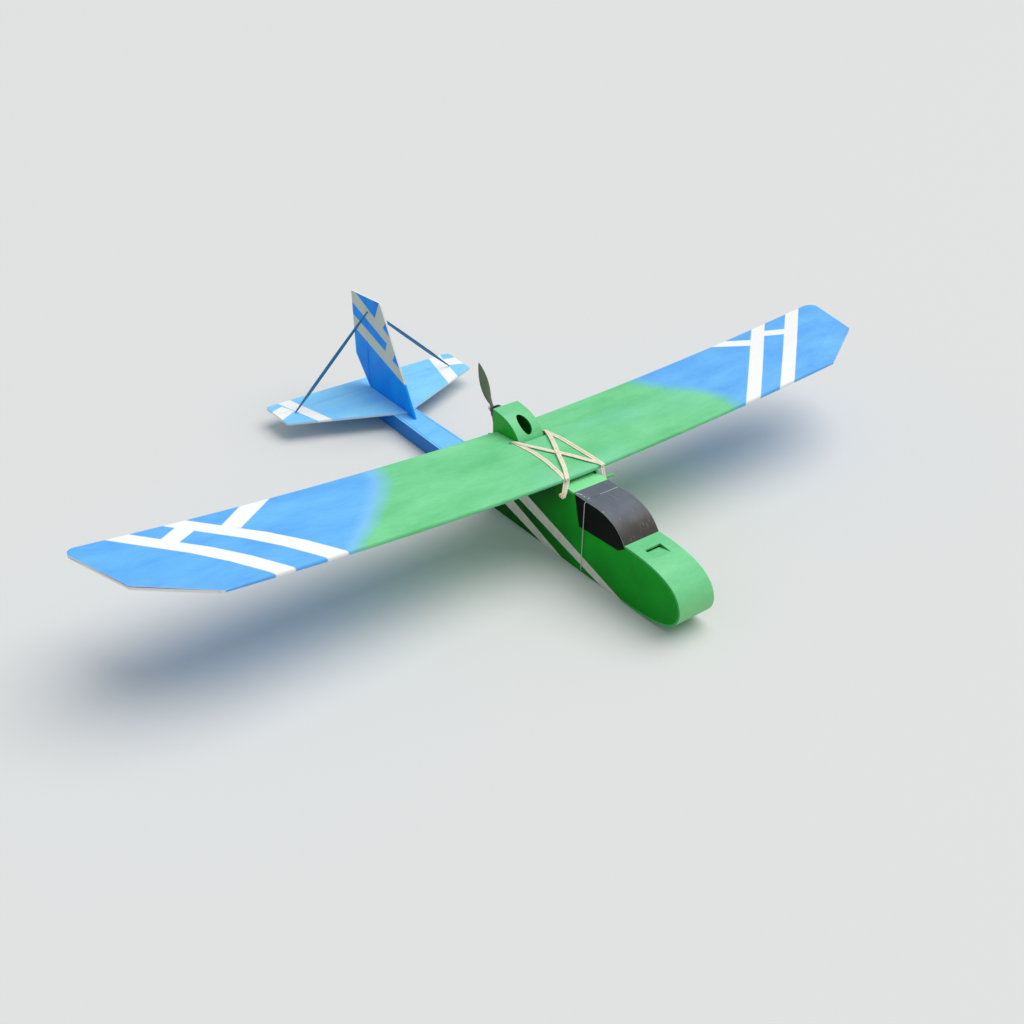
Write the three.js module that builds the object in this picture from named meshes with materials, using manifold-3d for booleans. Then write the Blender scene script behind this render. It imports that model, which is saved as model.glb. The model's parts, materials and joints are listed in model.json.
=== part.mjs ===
// A foam-board pusher model aircraft whose wing is held on by rubber bands.
// Millimetres. +X is the port wing tip, +Y the tail, +Z up. Every outline is drawn from the wing's
// leading edge at the root, and the finished group is moved so that the belly stands on Z = 0.
import * as THREE from 'three';
import { mergeVertices } from 'three/addons/utils/BufferGeometryUtils.js';
import Module from 'manifold-3d';

const wasm = await Module();
wasm.setup();

// ------------------------------------------------------------------ driving dimensions
const BOARD = 5; // foam board thickness
const GAP = 0.3; // clearance between glued pieces

const BODY_HALF = 40.2; // half width of the fuselage
const BELLY_Z = -160;
const SADDLE_Z = -1.3; // top edge of the sides under the wing
const DECK_TOP_Z = -6;
const DECK_BOARD = 4;
const DECK_FRONT_Y = -26.7;
const DECK_TONGUE_Y = 14; // the deck's rear tongue lies between the sides, under the wing
const BODY_REAR_Y = 232;
const CANOPY_BOARD = 1.2;
const NOSE_BOARD = 4;
const NOSE_SEAM_Y = -170; // the wrapped nose skin meets the floor here
const HATCH_HINGE_Y = -57;

const CHORD = 220;
const PANEL_SPAN = 857.5;
const ROOT_X = 0.05; // half the glue line between the two panels
const DIHEDRAL = 0.0166; // slope at the root
// each panel's upward curve and its tip in plan: three points of its straight edges, then the rear round
const PANELS = {
  starboard: { bow: 0.058e-3, rake: [[662, -20], [811, 76], [855.5, 196]], round: [[861.5, 220], [832, 221]] },
  port: { bow: 0.05e-3, rake: [[645, -20], [822, 76], [856.48, 200]], round: [[853, 219], [826, 221]] },
};
const PRESSED_WIDTH = 75; // the top skin is pressed down onto the bottom skin along the tip
const PRESSED_SHARE = 0.8;
const WING_BOTTOM_Z = -1;
const SPAR_FRONT_Y = 57;
const SPAR_REAR_Y = 108;
const SPAR_SPAN = 690; // ends inboard of the pressed tips
const RIDGE_Z = WING_BOTTOM_Z + 3 * BOARD + 2 * GAP;
const NOSE_RADIUS = 5.1;

const POD_HALF = 29;
const POD_FRONT_Y = 146;
const POD_SIDE_BOTTOM_Z = -60;
const POD_BOARD = 4;
const MOTOR_Z = 22;

const BOOM_TOP_Z = -124.6;
const BOOM_FRONT_Y = 202;
const BOOM_REAR_Y = 735.7;
const BOOM_HALF_AT_400 = 31.75;
const BOOM_TAPER = 0.0158; // half width lost per millimetre aft
const LEAD_EXIT_Y = 613; // the rudder servo's lead comes up through the boom and the stabiliser here

const STAB_BOTTOM_Z = BOOM_TOP_Z + GAP;
const STAB_TOP_Z = STAB_BOTTOM_Z + BOARD - 0.1;
const STAB_APEX_Y = 585;
const STAB_TIP = [239.5, 689];
const STAB_HALF = 242.5;
const ELEVATOR_HINGE_Y = 738;
const TAIL_Y = 784;
const RUDDER_HINGE_Y = 739;
const RUDDER_TOP = [800, 93];

const DOWEL_R = 2.8;
const FRONT_DOWEL = [-10, -13.3]; // y and z of its axis
const REAR_DOWEL = [157, 6.5];
const BAND_WIDTH = 6;
const BAND_THICK = 1.4;
const FRONT_PEG_X = [43.8, 50.6]; // inner and outer band at the front dowel
const REAR_PEG_X = [32.6, 39.4];

const RUDDER_HORN_R = 14;
const RUDDER_SERVO = [9.2, 639];
const ELEVATOR_HORN_R = 12;
const ELEVATOR_SERVO = [639, -140];

// ------------------------------------------------------------------ materials
const material = (color, roughness = 0.6, metalness = 0) =>
  new THREE.MeshStandardMaterial({ color, roughness, metalness });
const GREEN = material(0x3fae55, 0.5);
const LIGHT_GREEN = material(0x86e29b, 0.5);
const BLUE = material(0x3f8fe8, 0.5);
const FOAM = material(0xf0ede4, 0.8);
const CANOPY_GREY = material(0x6a6a74, 0.35);
const PLYWOOD = material(0xcaa774, 0.7);
const DOWEL_WOOD = material(0xd8bd8c, 0.7);
const RUBBER = material(0xf2ddc4, 0.7);
const ALLOY = material(0xb9bcc2, 0.3, 0.9);
const DARK_STEEL = material(0x4a4c50, 0.4, 0.8);
const COPPER = material(0x9c5a2c, 0.4, 0.6);
const PROP_GREY = material(0x77796c, 0.5);
const NYLON = material(0xe9e9e4, 0.5);
const SERVO_BLUE = material(0x2c4f9c, 0.35);
const BATTERY_WRAP = material(0x2a2d33, 0.4);
const BLACK = material(0x17181a, 0.6);

// ------------------------------------------------------------------ solids and booleans
const closed = (geometry) => {
  const bare = geometry.clone();
  bare.deleteAttribute('normal');
  bare.deleteAttribute('uv');
  return mergeVertices(bare, 1e-4);
};

const toSolid = (geometry) => {
  const merged = closed(geometry);
  const solid = new wasm.Manifold(new wasm.Mesh({
    numProp: 3,
    vertProperties: new Float32Array(merged.attributes.position.array),
    triVerts: new Uint32Array(merged.index.array),
  }));
  return solid;
};

const toGeometry = (solid) => {
  const mesh = solid.getMesh();
  const geometry = new THREE.BufferGeometry();
  geometry.setAttribute('position', new THREE.BufferAttribute(new Float32Array(mesh.vertProperties), 3));
  geometry.setIndex(new THREE.BufferAttribute(new Uint32Array(mesh.triVerts), 1));
  return geometry;
};

const cut = (geometry, ...tools) =>
  toGeometry(tools.reduce((solid, tool) => solid.subtract(toSolid(tool)), toSolid(geometry)));
const join = (geometry, ...others) =>
  toGeometry(others.reduce((solid, other) => solid.add(toSolid(other)), toSolid(geometry)));
const common = (geometry, other) => toGeometry(toSolid(geometry).intersect(toSolid(other)));

// ------------------------------------------------------------------ shape helpers
const shapeOf = (points) => new THREE.Shape(points.map(([a, b]) => new THREE.Vector2(a, b)));

const extrude = (shape, depth, steps = 1) =>
  new THREE.ExtrudeGeometry(shape, { depth, steps, bevelEnabled: false, curveSegments: 10 });

const SIDE_VIEW = new THREE.Matrix4().makeBasis(
  new THREE.Vector3(0, 1, 0), new THREE.Vector3(0, 0, 1), new THREE.Vector3(1, 0, 0));
const FRONT_VIEW = new THREE.Matrix4().makeBasis(
  new THREE.Vector3(1, 0, 0), new THREE.Vector3(0, 0, 1), new THREE.Vector3(0, -1, 0));

// a plate drawn in Y and Z, in X and Z, or in X and Y
const sidePlate = (shape, x0, x1, steps = 1) =>
  extrude(shape, x1 - x0, steps).applyMatrix4(SIDE_VIEW).translate(x0, 0, 0);
const frontPlate = (shape, y0, y1) => extrude(shape, y1 - y0).applyMatrix4(FRONT_VIEW).translate(0, y1, 0);
const planPlate = (shape, z0, z1) => extrude(shape, z1 - z0).translate(0, 0, z0);

const block = (x0, x1, y0, y1, z0, z1) =>
  new THREE.BoxGeometry(x1 - x0, y1 - y0, z1 - z0).translate((x0 + x1) / 2, (y0 + y1) / 2, (z0 + z1) / 2);

const rodBetween = (from, to, radius, sides = 12) => {
  const start = new THREE.Vector3(...from);
  const span = new THREE.Vector3(...to).sub(start);
  const turn = new THREE.Quaternion().setFromUnitVectors(new THREE.Vector3(0, 1, 0), span.clone().normalize());
  const middle = start.clone().addScaledVector(span, 0.5);
  return new THREE.CylinderGeometry(radius, radius, span.length(), sides)
    .applyQuaternion(turn).translate(middle.x, middle.y, middle.z);
};

const tubeAlong = (points, radius, steps, sides = 8) => {
  const path = new THREE.CatmullRomCurve3(points.map((p) => new THREE.Vector3(...p)), false, 'centripetal');
  const ring = Array.from({ length: sides }, (_, i) => {
    const angle = (2 * Math.PI * i) / sides;
    return [radius * Math.cos(angle), radius * Math.sin(angle)];
  });
  return new THREE.ExtrudeGeometry(shapeOf(ring), { steps, extrudePath: path, bevelEnabled: false });
};

// a turned piece: profile points are [radius, y], on the motor's axis
const turned = (profile, sides = 28) =>
  new THREE.LatheGeometry(profile.map(([r, y]) => new THREE.Vector2(r, y)), sides).translate(0, 0, MOTOR_Z);

const ringOn = (y, z, inner, outer, x0, x1) => {
  const ring = new THREE.Shape().absarc(y, z, outer, 0, 2 * Math.PI, false);
  ring.holes.push(new THREE.Path().absarc(y, z, inner, 0, 2 * Math.PI, true));
  return sidePlate(ring, x0, x1);
};

const warp = (geometry, move) => {
  const position = geometry.attributes.position;
  const point = new THREE.Vector3();
  for (let i = 0; i < position.count; i += 1) {
    point.fromBufferAttribute(position, i);
    move(point);
    position.setXYZ(i, point.x, point.y, point.z);
  }
  return geometry;
};

// a closed geometry with its triangles split where they cross side(point) = 0, so that it can be bent there
const splitAlong = (geometry, side) => {
  const { attributes: { position }, index } = closed(geometry);
  const crossing = (a, b) => {
    const [back, front] = side(a) < 0 ? [a, b] : [b, a];
    return back.clone().lerp(front, side(back) / (side(back) - side(front)));
  };
  const corners = [];
  for (let i = 0; i < index.count; i += 3) {
    const triangle = [0, 1, 2].map((k) => new THREE.Vector3().fromBufferAttribute(position, index.getX(i + k)));
    const sides = triangle.map((point) => (Math.abs(side(point)) < 0.01 ? 0 : side(point)));
    const rings = [1, -1].map((sign) => triangle.flatMap((point, k) => {
      const next = (k + 1) % 3;
      const kept = sides[k] * sign >= 0 ? [point] : [];
      return sides[k] * sides[next] < 0 ? [...kept, crossing(point, triangle[next])] : kept;
    }));
    rings.forEach((ring) => {
      for (let k = 1; k < ring.length - 1; k += 1) corners.push(ring[0], ring[k], ring[k + 1]);
    });
  }
  return closed(new THREE.BufferGeometry().setFromPoints(corners));
};

const curveThrough = (points, count) =>
  new THREE.SplineCurve(points.map(([a, b]) => new THREE.Vector2(a, b))).getPoints(count);

// the same curve moved to its left by a distance
const parallel = (points, distance) => points.map((point, i) => {
  const along = points[Math.min(i + 1, points.length - 1)].clone().sub(points[Math.max(i - 1, 0)]).normalize();
  return new THREE.Vector2(point.x - along.y * distance, point.y + along.x * distance);
});

const sheetShape = (outer, thickness) =>
  new THREE.Shape([...outer, ...parallel(outer, thickness).reverse()]);

// a closed body through a row of rings, each ring turning left as seen from the next
const loft = (rings) => {
  const around = rings[0].length;
  const last = (rings.length - 1) * around;
  const index = [];
  for (let start = 0; start < last; start += around) {
    for (let k = 0; k < around; k += 1) {
      const [a, b] = [start + k, start + ((k + 1) % around)];
      index.push(a, b, b + around, a, b + around, a + around);
    }
  }
  for (let k = 1; k < around - 1; k += 1) {
    index.push(0, k + 1, k);
    index.push(last, last + k, last + k + 1);
  }
  const geometry = new THREE.BufferGeometry();
  geometry.setAttribute('position', new THREE.Float32BufferAttribute(rings.flat(2), 3));
  geometry.setIndex(index);
  return geometry;
};

const plane = new THREE.Group();
const piece = (name, geometry, look) => {
  const mesh = new THREE.Mesh(closed(geometry), look);
  mesh.name = name;
  plane.add(mesh);
};

const SIDES = [['starboard', -1], ['port', 1]];
const spanX = (sign, near, far) => (sign > 0 ? [near, far] : [-far, -near]);

// ------------------------------------------------------------------ fuselage outline, in Y and Z
const CANOPY_CURVE = curveThrough(
  [[-27, -6.5], [-57, -6.9], [-85, -6.2], [-110, -8.4], [-135, -16.5], [-152, -28], [-166, -44]], 24);
const HATCH_START = CANOPY_CURVE.findIndex((point) => point.x < HATCH_HINGE_Y - GAP);
const NOSE_CURVE = curveThrough(
  [[-166.3, -44], [-208, -44.8], [-251, -51], [-283, -63], [-302, -80], [-310.6, -102], [-308, -121],
    [-296, -137], [-272, -149], [-235, -156.5], [-195, -159.7], [NOSE_SEAM_Y, BELLY_Z]], 36)
  .map((point) => new THREE.Vector2(point.x, Math.max(point.y, BELLY_Z)));

const fuselageSides = () => {
  const outline = [
    new THREE.Vector2(BODY_REAR_Y, BELLY_Z), new THREE.Vector2(BODY_REAR_Y, SADDLE_Z),
    new THREE.Vector2(GAP, SADDLE_Z), new THREE.Vector2(GAP, DECK_TOP_Z - DECK_BOARD - GAP),
    new THREE.Vector2(DECK_FRONT_Y, DECK_TOP_Z - DECK_BOARD - GAP),
    ...parallel(CANOPY_CURVE, CANOPY_BOARD + GAP), ...parallel(NOSE_CURVE, NOSE_BOARD + GAP),
    new THREE.Vector2(NOSE_SEAM_Y + GAP, BELLY_Z + NOSE_BOARD + GAP),
    new THREE.Vector2(NOSE_SEAM_Y + GAP, BELLY_Z),
  ];
  const shape = new THREE.Shape(outline);
  shape.holes.push(new THREE.Path().absarc(...FRONT_DOWEL, DOWEL_R + GAP / 2, 0, 2 * Math.PI, true));
  SIDES.forEach(([side, sign]) => {
    const plate = sidePlate(shape, ...spanX(sign, BODY_HALF - BOARD, BODY_HALF));
    const wireNotch = block(...spanX(sign, BODY_HALF - 2 * BOARD, BODY_HALF + BOARD), -61.4, -58.6, -11.5, 0);
    piece(`fuselage_side_${side}`, side === 'starboard' ? cut(plate, wireNotch) : plate, GREEN);
  });
};

const fuselageSkins = () => {
  const inner = BODY_HALF - BOARD - GAP;
  const floorEnds = [NOSE_SEAM_Y + GAP, BOOM_FRONT_Y - GAP];
  piece('fuselage_floor', block(-inner, inner, ...floorEnds, BELLY_Z, BELLY_Z + BOARD), GREEN);
  piece('fuselage_deck', planPlate(shapeOf([
    [-BODY_HALF, DECK_FRONT_Y], [BODY_HALF, DECK_FRONT_Y], [BODY_HALF, 0], [inner, 0], [inner, DECK_TONGUE_Y],
    [-inner, DECK_TONGUE_Y], [-inner, 0], [-BODY_HALF, 0],
  ]), DECK_TOP_Z - DECK_BOARD, DECK_TOP_Z), LIGHT_GREEN);
  const rear = CANOPY_CURVE.slice(0, HATCH_START);
  rear.push(new THREE.Vector2(HATCH_HINGE_Y, -6.9));
  piece('canopy_rear_strip', sidePlate(sheetShape(rear, CANOPY_BOARD), -BODY_HALF, BODY_HALF), CANOPY_GREY);
  const front = CANOPY_CURVE.slice(HATCH_START);
  front.unshift(new THREE.Vector2(HATCH_HINGE_Y - GAP, -6.9));
  piece('canopy_hatch', sidePlate(sheetShape(front, CANOPY_BOARD), -BODY_HALF, BODY_HALF), CANOPY_GREY);
};

// the air outlet in the nose: a tab cut on three sides and pressed in at its rear
const VENT = { left: -20, right: 16, rear: -195, front: -222, drop: 6.5 };
const noseSkin = () => {
  const skin = sidePlate(sheetShape(NOSE_CURVE, NOSE_BOARD), -BODY_HALF, BODY_HALF);
  const topAt = (y) => {
    const next = NOSE_CURVE.findIndex((point) => point.x < y);
    const [a, b] = [NOSE_CURVE[next - 1], NOSE_CURVE[next]];
    return a.y + ((y - a.x) / (b.x - a.x)) * (b.y - a.y);
  };
  const opening = block(VENT.left, VENT.right, VENT.front, VENT.rear, -70, -30);
  const frontZ = topAt(VENT.front);
  const rearZ = topAt(VENT.rear) - VENT.drop;
  const tab = sidePlate(shapeOf([
    [VENT.front - 1, frontZ - 0.2], [VENT.rear - 1, rearZ], [VENT.rear - 1, rearZ - NOSE_BOARD],
    [VENT.front - 1, frontZ - NOSE_BOARD + 0.4],
  ]), VENT.left + 0.4, VENT.right - 0.4);
  piece('nose_skin', join(cut(skin, opening), tab), LIGHT_GREEN);
};

const formers = () => {
  const inner = BODY_HALF - BOARD - GAP;
  const floorZ = BELLY_Z + BOARD + GAP;
  piece('nose_former', block(-inner, inner, -165, -160, floorZ, -49.5), FOAM);
  const framed = (z0, z1, window) => {
    const shape = shapeOf([[-inner, z0], [inner, z0], [inner, z1], [-inner, z1]]);
    shape.holes.push(new THREE.Path(window.map(([x, z]) => new THREE.Vector2(x, z))));
    return shape;
  };
  piece('deck_former', frontPlate(
    framed(-92.7, DECK_TOP_Z - DECK_BOARD - 6.6, [[-24, -86], [-24, -40], [24, -40], [24, -86]]),
    DECK_FRONT_Y, DECK_FRONT_Y + BOARD), FOAM);
  piece('wing_former', frontPlate(
    framed(floorZ, SADDLE_Z - GAP, [[-22, -148], [-22, -66], [22, -66], [22, -148]]), 138, 143), FOAM);
  const arm = inner - 0.1;
  const throat = POD_HALF + 0.4;
  piece('rear_bulkhead', frontPlate(shapeOf([
    [-28.8, BOOM_TOP_Z + 0.6], [28.8, BOOM_TOP_Z + 0.6], [28.8, -66.2], [arm, -66.2], [arm, SADDLE_Z - GAP],
    [throat, SADDLE_Z - GAP], [throat, POD_SIDE_BOTTOM_Z - 0.5], [-throat, POD_SIDE_BOTTOM_Z - 0.5],
    [-throat, SADDLE_Z - GAP], [-arm, SADDLE_Z - GAP], [-arm, -66.2], [-28.8, -66.2],
  ]), 222, 227), FOAM);
};

// ------------------------------------------------------------------ motor pod
const POD_CURVE = curveThrough(
  [[BODY_REAR_Y, 48], [212, 46.6], [190, 42.6], [171, 34], [157, 22.5], [148.6, 9.5], [POD_FRONT_Y, 2]], 20);

const pod = () => {
  const skin = sidePlate(sheetShape(POD_CURVE, POD_BOARD), -POD_HALF, POD_HALF);
  const intake = new THREE.CylinderGeometry(1, 1, 40, 28).scale(11.5, 1, 21.5)
    .rotateX(-Math.PI / 2 + Math.atan2(0.83, 0.56)).translate(0, 173, 31);
  piece('pod_skin', cut(skin, intake), LIGHT_GREEN);
  const shape = new THREE.Shape([
    new THREE.Vector2(BODY_REAR_Y, POD_SIDE_BOTTOM_Z), ...parallel(POD_CURVE, POD_BOARD + GAP),
    new THREE.Vector2(POD_FRONT_Y, -4), new THREE.Vector2(POD_FRONT_Y, POD_SIDE_BOTTOM_Z),
  ]);
  shape.holes.push(new THREE.Path().absarc(...REAR_DOWEL, DOWEL_R + GAP / 2, 0, 2 * Math.PI, true));
  SIDES.forEach(([side, sign]) => {
    piece(`pod_side_${side}`, sidePlate(shape, ...spanX(sign, POD_HALF - BOARD, POD_HALF)), GREEN);
  });
  const half = POD_HALF - BOARD - GAP;
  const plate = block(-half, half, 228, 231.7, POD_SIDE_BOTTOM_Z, 42.8);
  const leadHole = rodBetween([-7, 220, 3.6], [-7, 240, 3.6], 4, 16);
  piece('motor_firewall', cut(plate, leadHole), PLYWOOD);
};

// ------------------------------------------------------------------ wing
const rise = (x) => DIHEDRAL * Math.abs(x) + PANELS[x < 0 ? 'starboard' : 'port'].bow * x * x;
const bend = (geometry) => warp(geometry, (point) => {
  point.z += rise(point.x);
});

const topSkinShape = () => {
  const shape = new THREE.Shape();
  const noseZ = WING_BOTTOM_Z + NOSE_RADIUS;
  const topInner = (z) => z - BOARD;
  shape.moveTo(CHORD, WING_BOTTOM_Z + BOARD);
  shape.lineTo(SPAR_REAR_Y, RIDGE_Z);
  shape.lineTo(SPAR_FRONT_Y, RIDGE_Z);
  shape.lineTo(12, WING_BOTTOM_Z + 2 * BOARD + 1.2);
  shape.absarc(NOSE_RADIUS, noseZ, NOSE_RADIUS, Math.PI * 0.56, Math.PI * 1.5, false);
  shape.lineTo(NOSE_RADIUS, WING_BOTTOM_Z + BOARD + GAP);
  shape.lineTo(12, WING_BOTTOM_Z + BOARD + GAP);
  shape.lineTo(SPAR_FRONT_Y, topInner(RIDGE_Z));
  shape.lineTo(SPAR_REAR_Y, topInner(RIDGE_Z));
  shape.lineTo(SPAR_REAR_Y + 55, WING_BOTTOM_Z + BOARD + 1.5 * GAP);
  shape.lineTo(CHORD, WING_BOTTOM_Z);
  return shape;
};

const bottomSkinShape = () => shapeOf([
  [NOSE_RADIUS + GAP, WING_BOTTOM_Z], [CHORD - 8, WING_BOTTOM_Z], [SPAR_REAR_Y + 53, WING_BOTTOM_Z + BOARD],
  [NOSE_RADIUS + GAP, WING_BOTTOM_Z + BOARD],
]);

const panelPlan = (sign, { rake, round }) => {
  const plan = new THREE.Shape();
  plan.moveTo(sign * ROOT_X, rake[0][1]);
  rake.forEach(([x, y]) => plan.lineTo(sign * x, y));
  const [[cornerX, cornerY], [endX, endY]] = round;
  plan.quadraticCurveTo(sign * cornerX, cornerY, sign * endX, endY);
  plan.lineTo(sign * ROOT_X, endY);
  return plan;
};

// a top skin with its tip pressed down, evenly from nothing at a fold inboard of the tip
const withPressedTip = (skin, { rake: [nose, corner, rear] }) => {
  const edgeX = ([fromX, fromY], [toX, toY], y) => fromX + ((y - fromY) / (toY - fromY)) * (toX - fromX);
  const inboardOf = (from, to) => ({ x, y }) => edgeX(from, to, y) - Math.abs(x);
  const edges = [inboardOf(nose, corner), inboardOf(corner, rear)];
  const folded = edges.reduce(
    (geometry, inboard) => splitAlong(geometry, (point) => inboard(point) - PRESSED_WIDTH), skin);
  const floorZ = WING_BOTTOM_Z + BOARD + GAP;
  return warp(folded, (point) => {
    const inboard = Math.min(...edges.map((distance) => distance(point)));
    const share = PRESSED_SHARE * (1 - inboard / PRESSED_WIDTH);
    const height = point.z - rise(point.x) - floorZ;
    if (share > 0.001 && height > 0) point.z -= share * height;
  });
};

const wing = () => {
  const stations = 10;
  // the slot for the pod is close on the starboard side and loose on the port side
  const podSlot = block(-POD_HALF - 0.6, POD_HALF + 7, POD_FRONT_Y - 1.5, CHORD + 20, -20, 60);
  // the top skin is notched where the looped ends of the rear dowel lie in it
  const [dowelY, dowelZ] = REAR_DOWEL;
  const notchR = DOWEL_R + BAND_THICK + 2 * GAP;
  const notch = join(rodBetween([-46, dowelY, dowelZ], [46, dowelY, dowelZ], notchR, 20),
    block(-46, 46, dowelY - notchR, dowelY + notchR, dowelZ, dowelZ + 20));
  SIDES.forEach(([side, sign]) => {
    const plan = planPlate(panelPlan(sign, PANELS[side]), -20, 120);
    const panel = (shape) => {
      const long = bend(sidePlate(shape, ...spanX(sign, ROOT_X / 2, PANEL_SPAN + 3), stations));
      return cut(common(long, plan), podSlot, notch);
    };
    piece(`wing_top_skin_${side}`, withPressedTip(panel(topSkinShape()), PANELS[side]), LIGHT_GREEN);
    piece(`wing_bottom_skin_${side}`, panel(bottomSkinShape()), BLUE);
    const spar = shapeOf([
      [SPAR_FRONT_Y + 1, WING_BOTTOM_Z + BOARD + GAP], [SPAR_REAR_Y - 1, WING_BOTTOM_Z + BOARD + GAP],
      [SPAR_REAR_Y - 1, RIDGE_Z - BOARD - GAP], [SPAR_FRONT_Y + 1, RIDGE_Z - BOARD - GAP]]);
    piece(`wing_spar_${side}`, bend(sidePlate(spar, ...spanX(sign, ROOT_X, SPAR_SPAN), stations)), FOAM);
  });
};

// ------------------------------------------------------------------ dowels and rubber bands
const dowels = () => {
  piece('front_dowel', rodBetween([-59, ...FRONT_DOWEL], [68, ...FRONT_DOWEL], DOWEL_R, 16), DOWEL_WOOD);
  piece('rear_dowel', rodBetween([-44, ...REAR_DOWEL], [44, ...REAR_DOWEL], DOWEL_R, 16), DOWEL_WOOD);
};

// one band: a loop round each dowel, and a strip over the wing that slides sideways between its two pegs
const SLIDE_END_Y = POD_FRONT_Y - 6;
const band = (frontX, rearX, lift) => {
  const inner = DOWEL_R + GAP;
  const outer = inner + BAND_THICK;
  const seat = GAP + rise(Math.abs(frontX) + BAND_WIDTH / 2);
  const climb = RIDGE_Z + seat;
  const roundNose = [1.08, 0.94, 0.8, 0.66].map((turn) => [
    NOSE_RADIUS + (NOSE_RADIUS + 2 * GAP) * Math.cos(turn * Math.PI),
    WING_BOTTOM_Z + NOSE_RADIUS + seat + (NOSE_RADIUS + 2 * GAP) * Math.sin(turn * Math.PI),
  ]);
  const under = [
    [FRONT_DOWEL[0] + outer, FRONT_DOWEL[1]], ...roundNose, [12, WING_BOTTOM_Z + 2 * BOARD + 1.5 + seat],
    [SPAR_FRONT_Y, climb], [76, climb + lift], [93, climb + lift], [SPAR_REAR_Y, climb],
    [SLIDE_END_Y, climb + 0.4], [REAR_DOWEL[0], REAR_DOWEL[1] + inner],
  ].map(([y, z]) => new THREE.Vector2(y, z));
  const over = parallel(under, BAND_THICK);
  const strip = loft(under.map((low, i) => {
    const along = THREE.MathUtils.clamp((low.x - 4) / (SLIDE_END_Y - 4), 0, 1);
    const middle = frontX + (rearX - frontX) * along;
    const [left, right] = [middle - BAND_WIDTH / 2, middle + BAND_WIDTH / 2];
    const high = over[i];
    return [[left, low.x, low.y], [left, high.x, high.y], [right, high.x, high.y], [right, low.x, low.y]];
  }));
  const loopOn = (dowel, x) => ringOn(...dowel, inner, outer, x - BAND_WIDTH / 2, x + BAND_WIDTH / 2);
  return join(strip, loopOn(FRONT_DOWEL, frontX), loopOn(REAR_DOWEL, rearX));
};

const rubberBands = () => {
  piece('rubber_band_starboard', band(-FRONT_PEG_X[1], -REAR_PEG_X[1], 0), RUBBER);
  piece('rubber_band_port', band(FRONT_PEG_X[1], REAR_PEG_X[1], 0), RUBBER);
  piece('rubber_band_cross_under', band(FRONT_PEG_X[0], -REAR_PEG_X[0], 0), RUBBER);
  piece('rubber_band_cross_over', band(-FRONT_PEG_X[0], REAR_PEG_X[0], BAND_THICK + GAP), RUBBER);
};

// ------------------------------------------------------------------ boom
const boomHalf = (y) => BOOM_HALF_AT_400 + (400 - y) * BOOM_TAPER;

const rudderLeadHole = () => {
  const [x] = RUDDER_SERVO;
  return rodBetween([x, LEAD_EXIT_Y, BOOM_TOP_Z - 15], [x, LEAD_EXIT_Y, STAB_TOP_Z + 15], 3, 12);
};

const boom = () => {
  const sideShape = shapeOf([
    [BOOM_FRONT_Y, BELLY_Z], [BOOM_REAR_Y, BELLY_Z], [BOOM_REAR_Y, BOOM_TOP_Z],
    [BODY_REAR_Y + GAP, BOOM_TOP_Z], [BODY_REAR_Y + GAP, -67], [BOOM_FRONT_Y, -67],
  ]);
  const [servoY, servoZ] = ELEVATOR_SERVO;
  const servoWindow = block(10, 60, servoY - 17.4, servoY + 6.4, servoZ - 6.4, servoZ + 6.4);
  SIDES.forEach(([side, sign]) => {
    const plate = warp(sidePlate(sideShape, ...spanX(sign, 0, BOARD)), (point) => {
      point.x += sign * (boomHalf(point.y) - BOARD);
    });
    piece(`boom_side_${side}`, side === 'port' ? cut(plate, servoWindow) : plate, BLUE);
  });
  const between = (y0, y1, z0, z1) => {
    const [near, far] = [boomHalf(y0) - BOARD - GAP, boomHalf(y1) - BOARD - GAP];
    return planPlate(shapeOf([[-near, y0], [near, y0], [far, y1], [-far, y1]]), z0, z1);
  };
  piece('boom_top', cut(
    between(BODY_REAR_Y + GAP, BOOM_REAR_Y, BOOM_TOP_Z - BOARD, BOOM_TOP_Z), rudderLeadHole()), BLUE);
  piece('boom_floor', between(BOOM_FRONT_Y, BOOM_REAR_Y, BELLY_Z, BELLY_Z + BOARD), BLUE);
  piece('tail_former', block(-20.8, 20.8, BOOM_REAR_Y - BOARD - 1, BOOM_REAR_Y - 1, BELLY_Z + BOARD + GAP,
    BOOM_TOP_Z - BOARD - GAP), FOAM);
};

// ------------------------------------------------------------------ tail surfaces
const tailPlan = () => {
  const [tipX, tipY] = STAB_TIP;
  const round = 9;
  const plan = new THREE.Shape();
  plan.moveTo(0, STAB_APEX_Y);
  plan.lineTo(tipX, tipY);
  plan.lineTo(STAB_HALF, TAIL_Y - round);
  plan.quadraticCurveTo(STAB_HALF, TAIL_Y, STAB_HALF - round, TAIL_Y);
  plan.lineTo(round - STAB_HALF, TAIL_Y);
  plan.quadraticCurveTo(-STAB_HALF, TAIL_Y, -STAB_HALF, TAIL_Y - round);
  plan.lineTo(-tipX, tipY);
  plan.closePath();
  return plan;
};

const tailplane = () => {
  const whole = planPlate(tailPlan(), STAB_BOTTOM_Z, STAB_TOP_Z);
  const fixedHalf = block(-300, 300, 500, ELEVATOR_HINGE_Y - GAP, STAB_BOTTOM_Z - 5, STAB_TOP_Z + 5);
  piece('stabiliser', cut(common(whole, fixedHalf), rudderLeadHole()), BLUE);
  const bevel = BOARD;
  const movingHalf = sidePlate(shapeOf([
    [ELEVATOR_HINGE_Y + GAP, STAB_TOP_Z + 1], [TAIL_Y + 5, STAB_TOP_Z + 1], [TAIL_Y + 5, STAB_BOTTOM_Z - 1],
    [ELEVATOR_HINGE_Y + GAP + bevel + 1, STAB_BOTTOM_Z - 1], [ELEVATOR_HINGE_Y + GAP, STAB_TOP_Z - 0.5],
  ]), -300, 300);
  piece('elevator', common(whole, movingHalf), BLUE);
};

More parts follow.
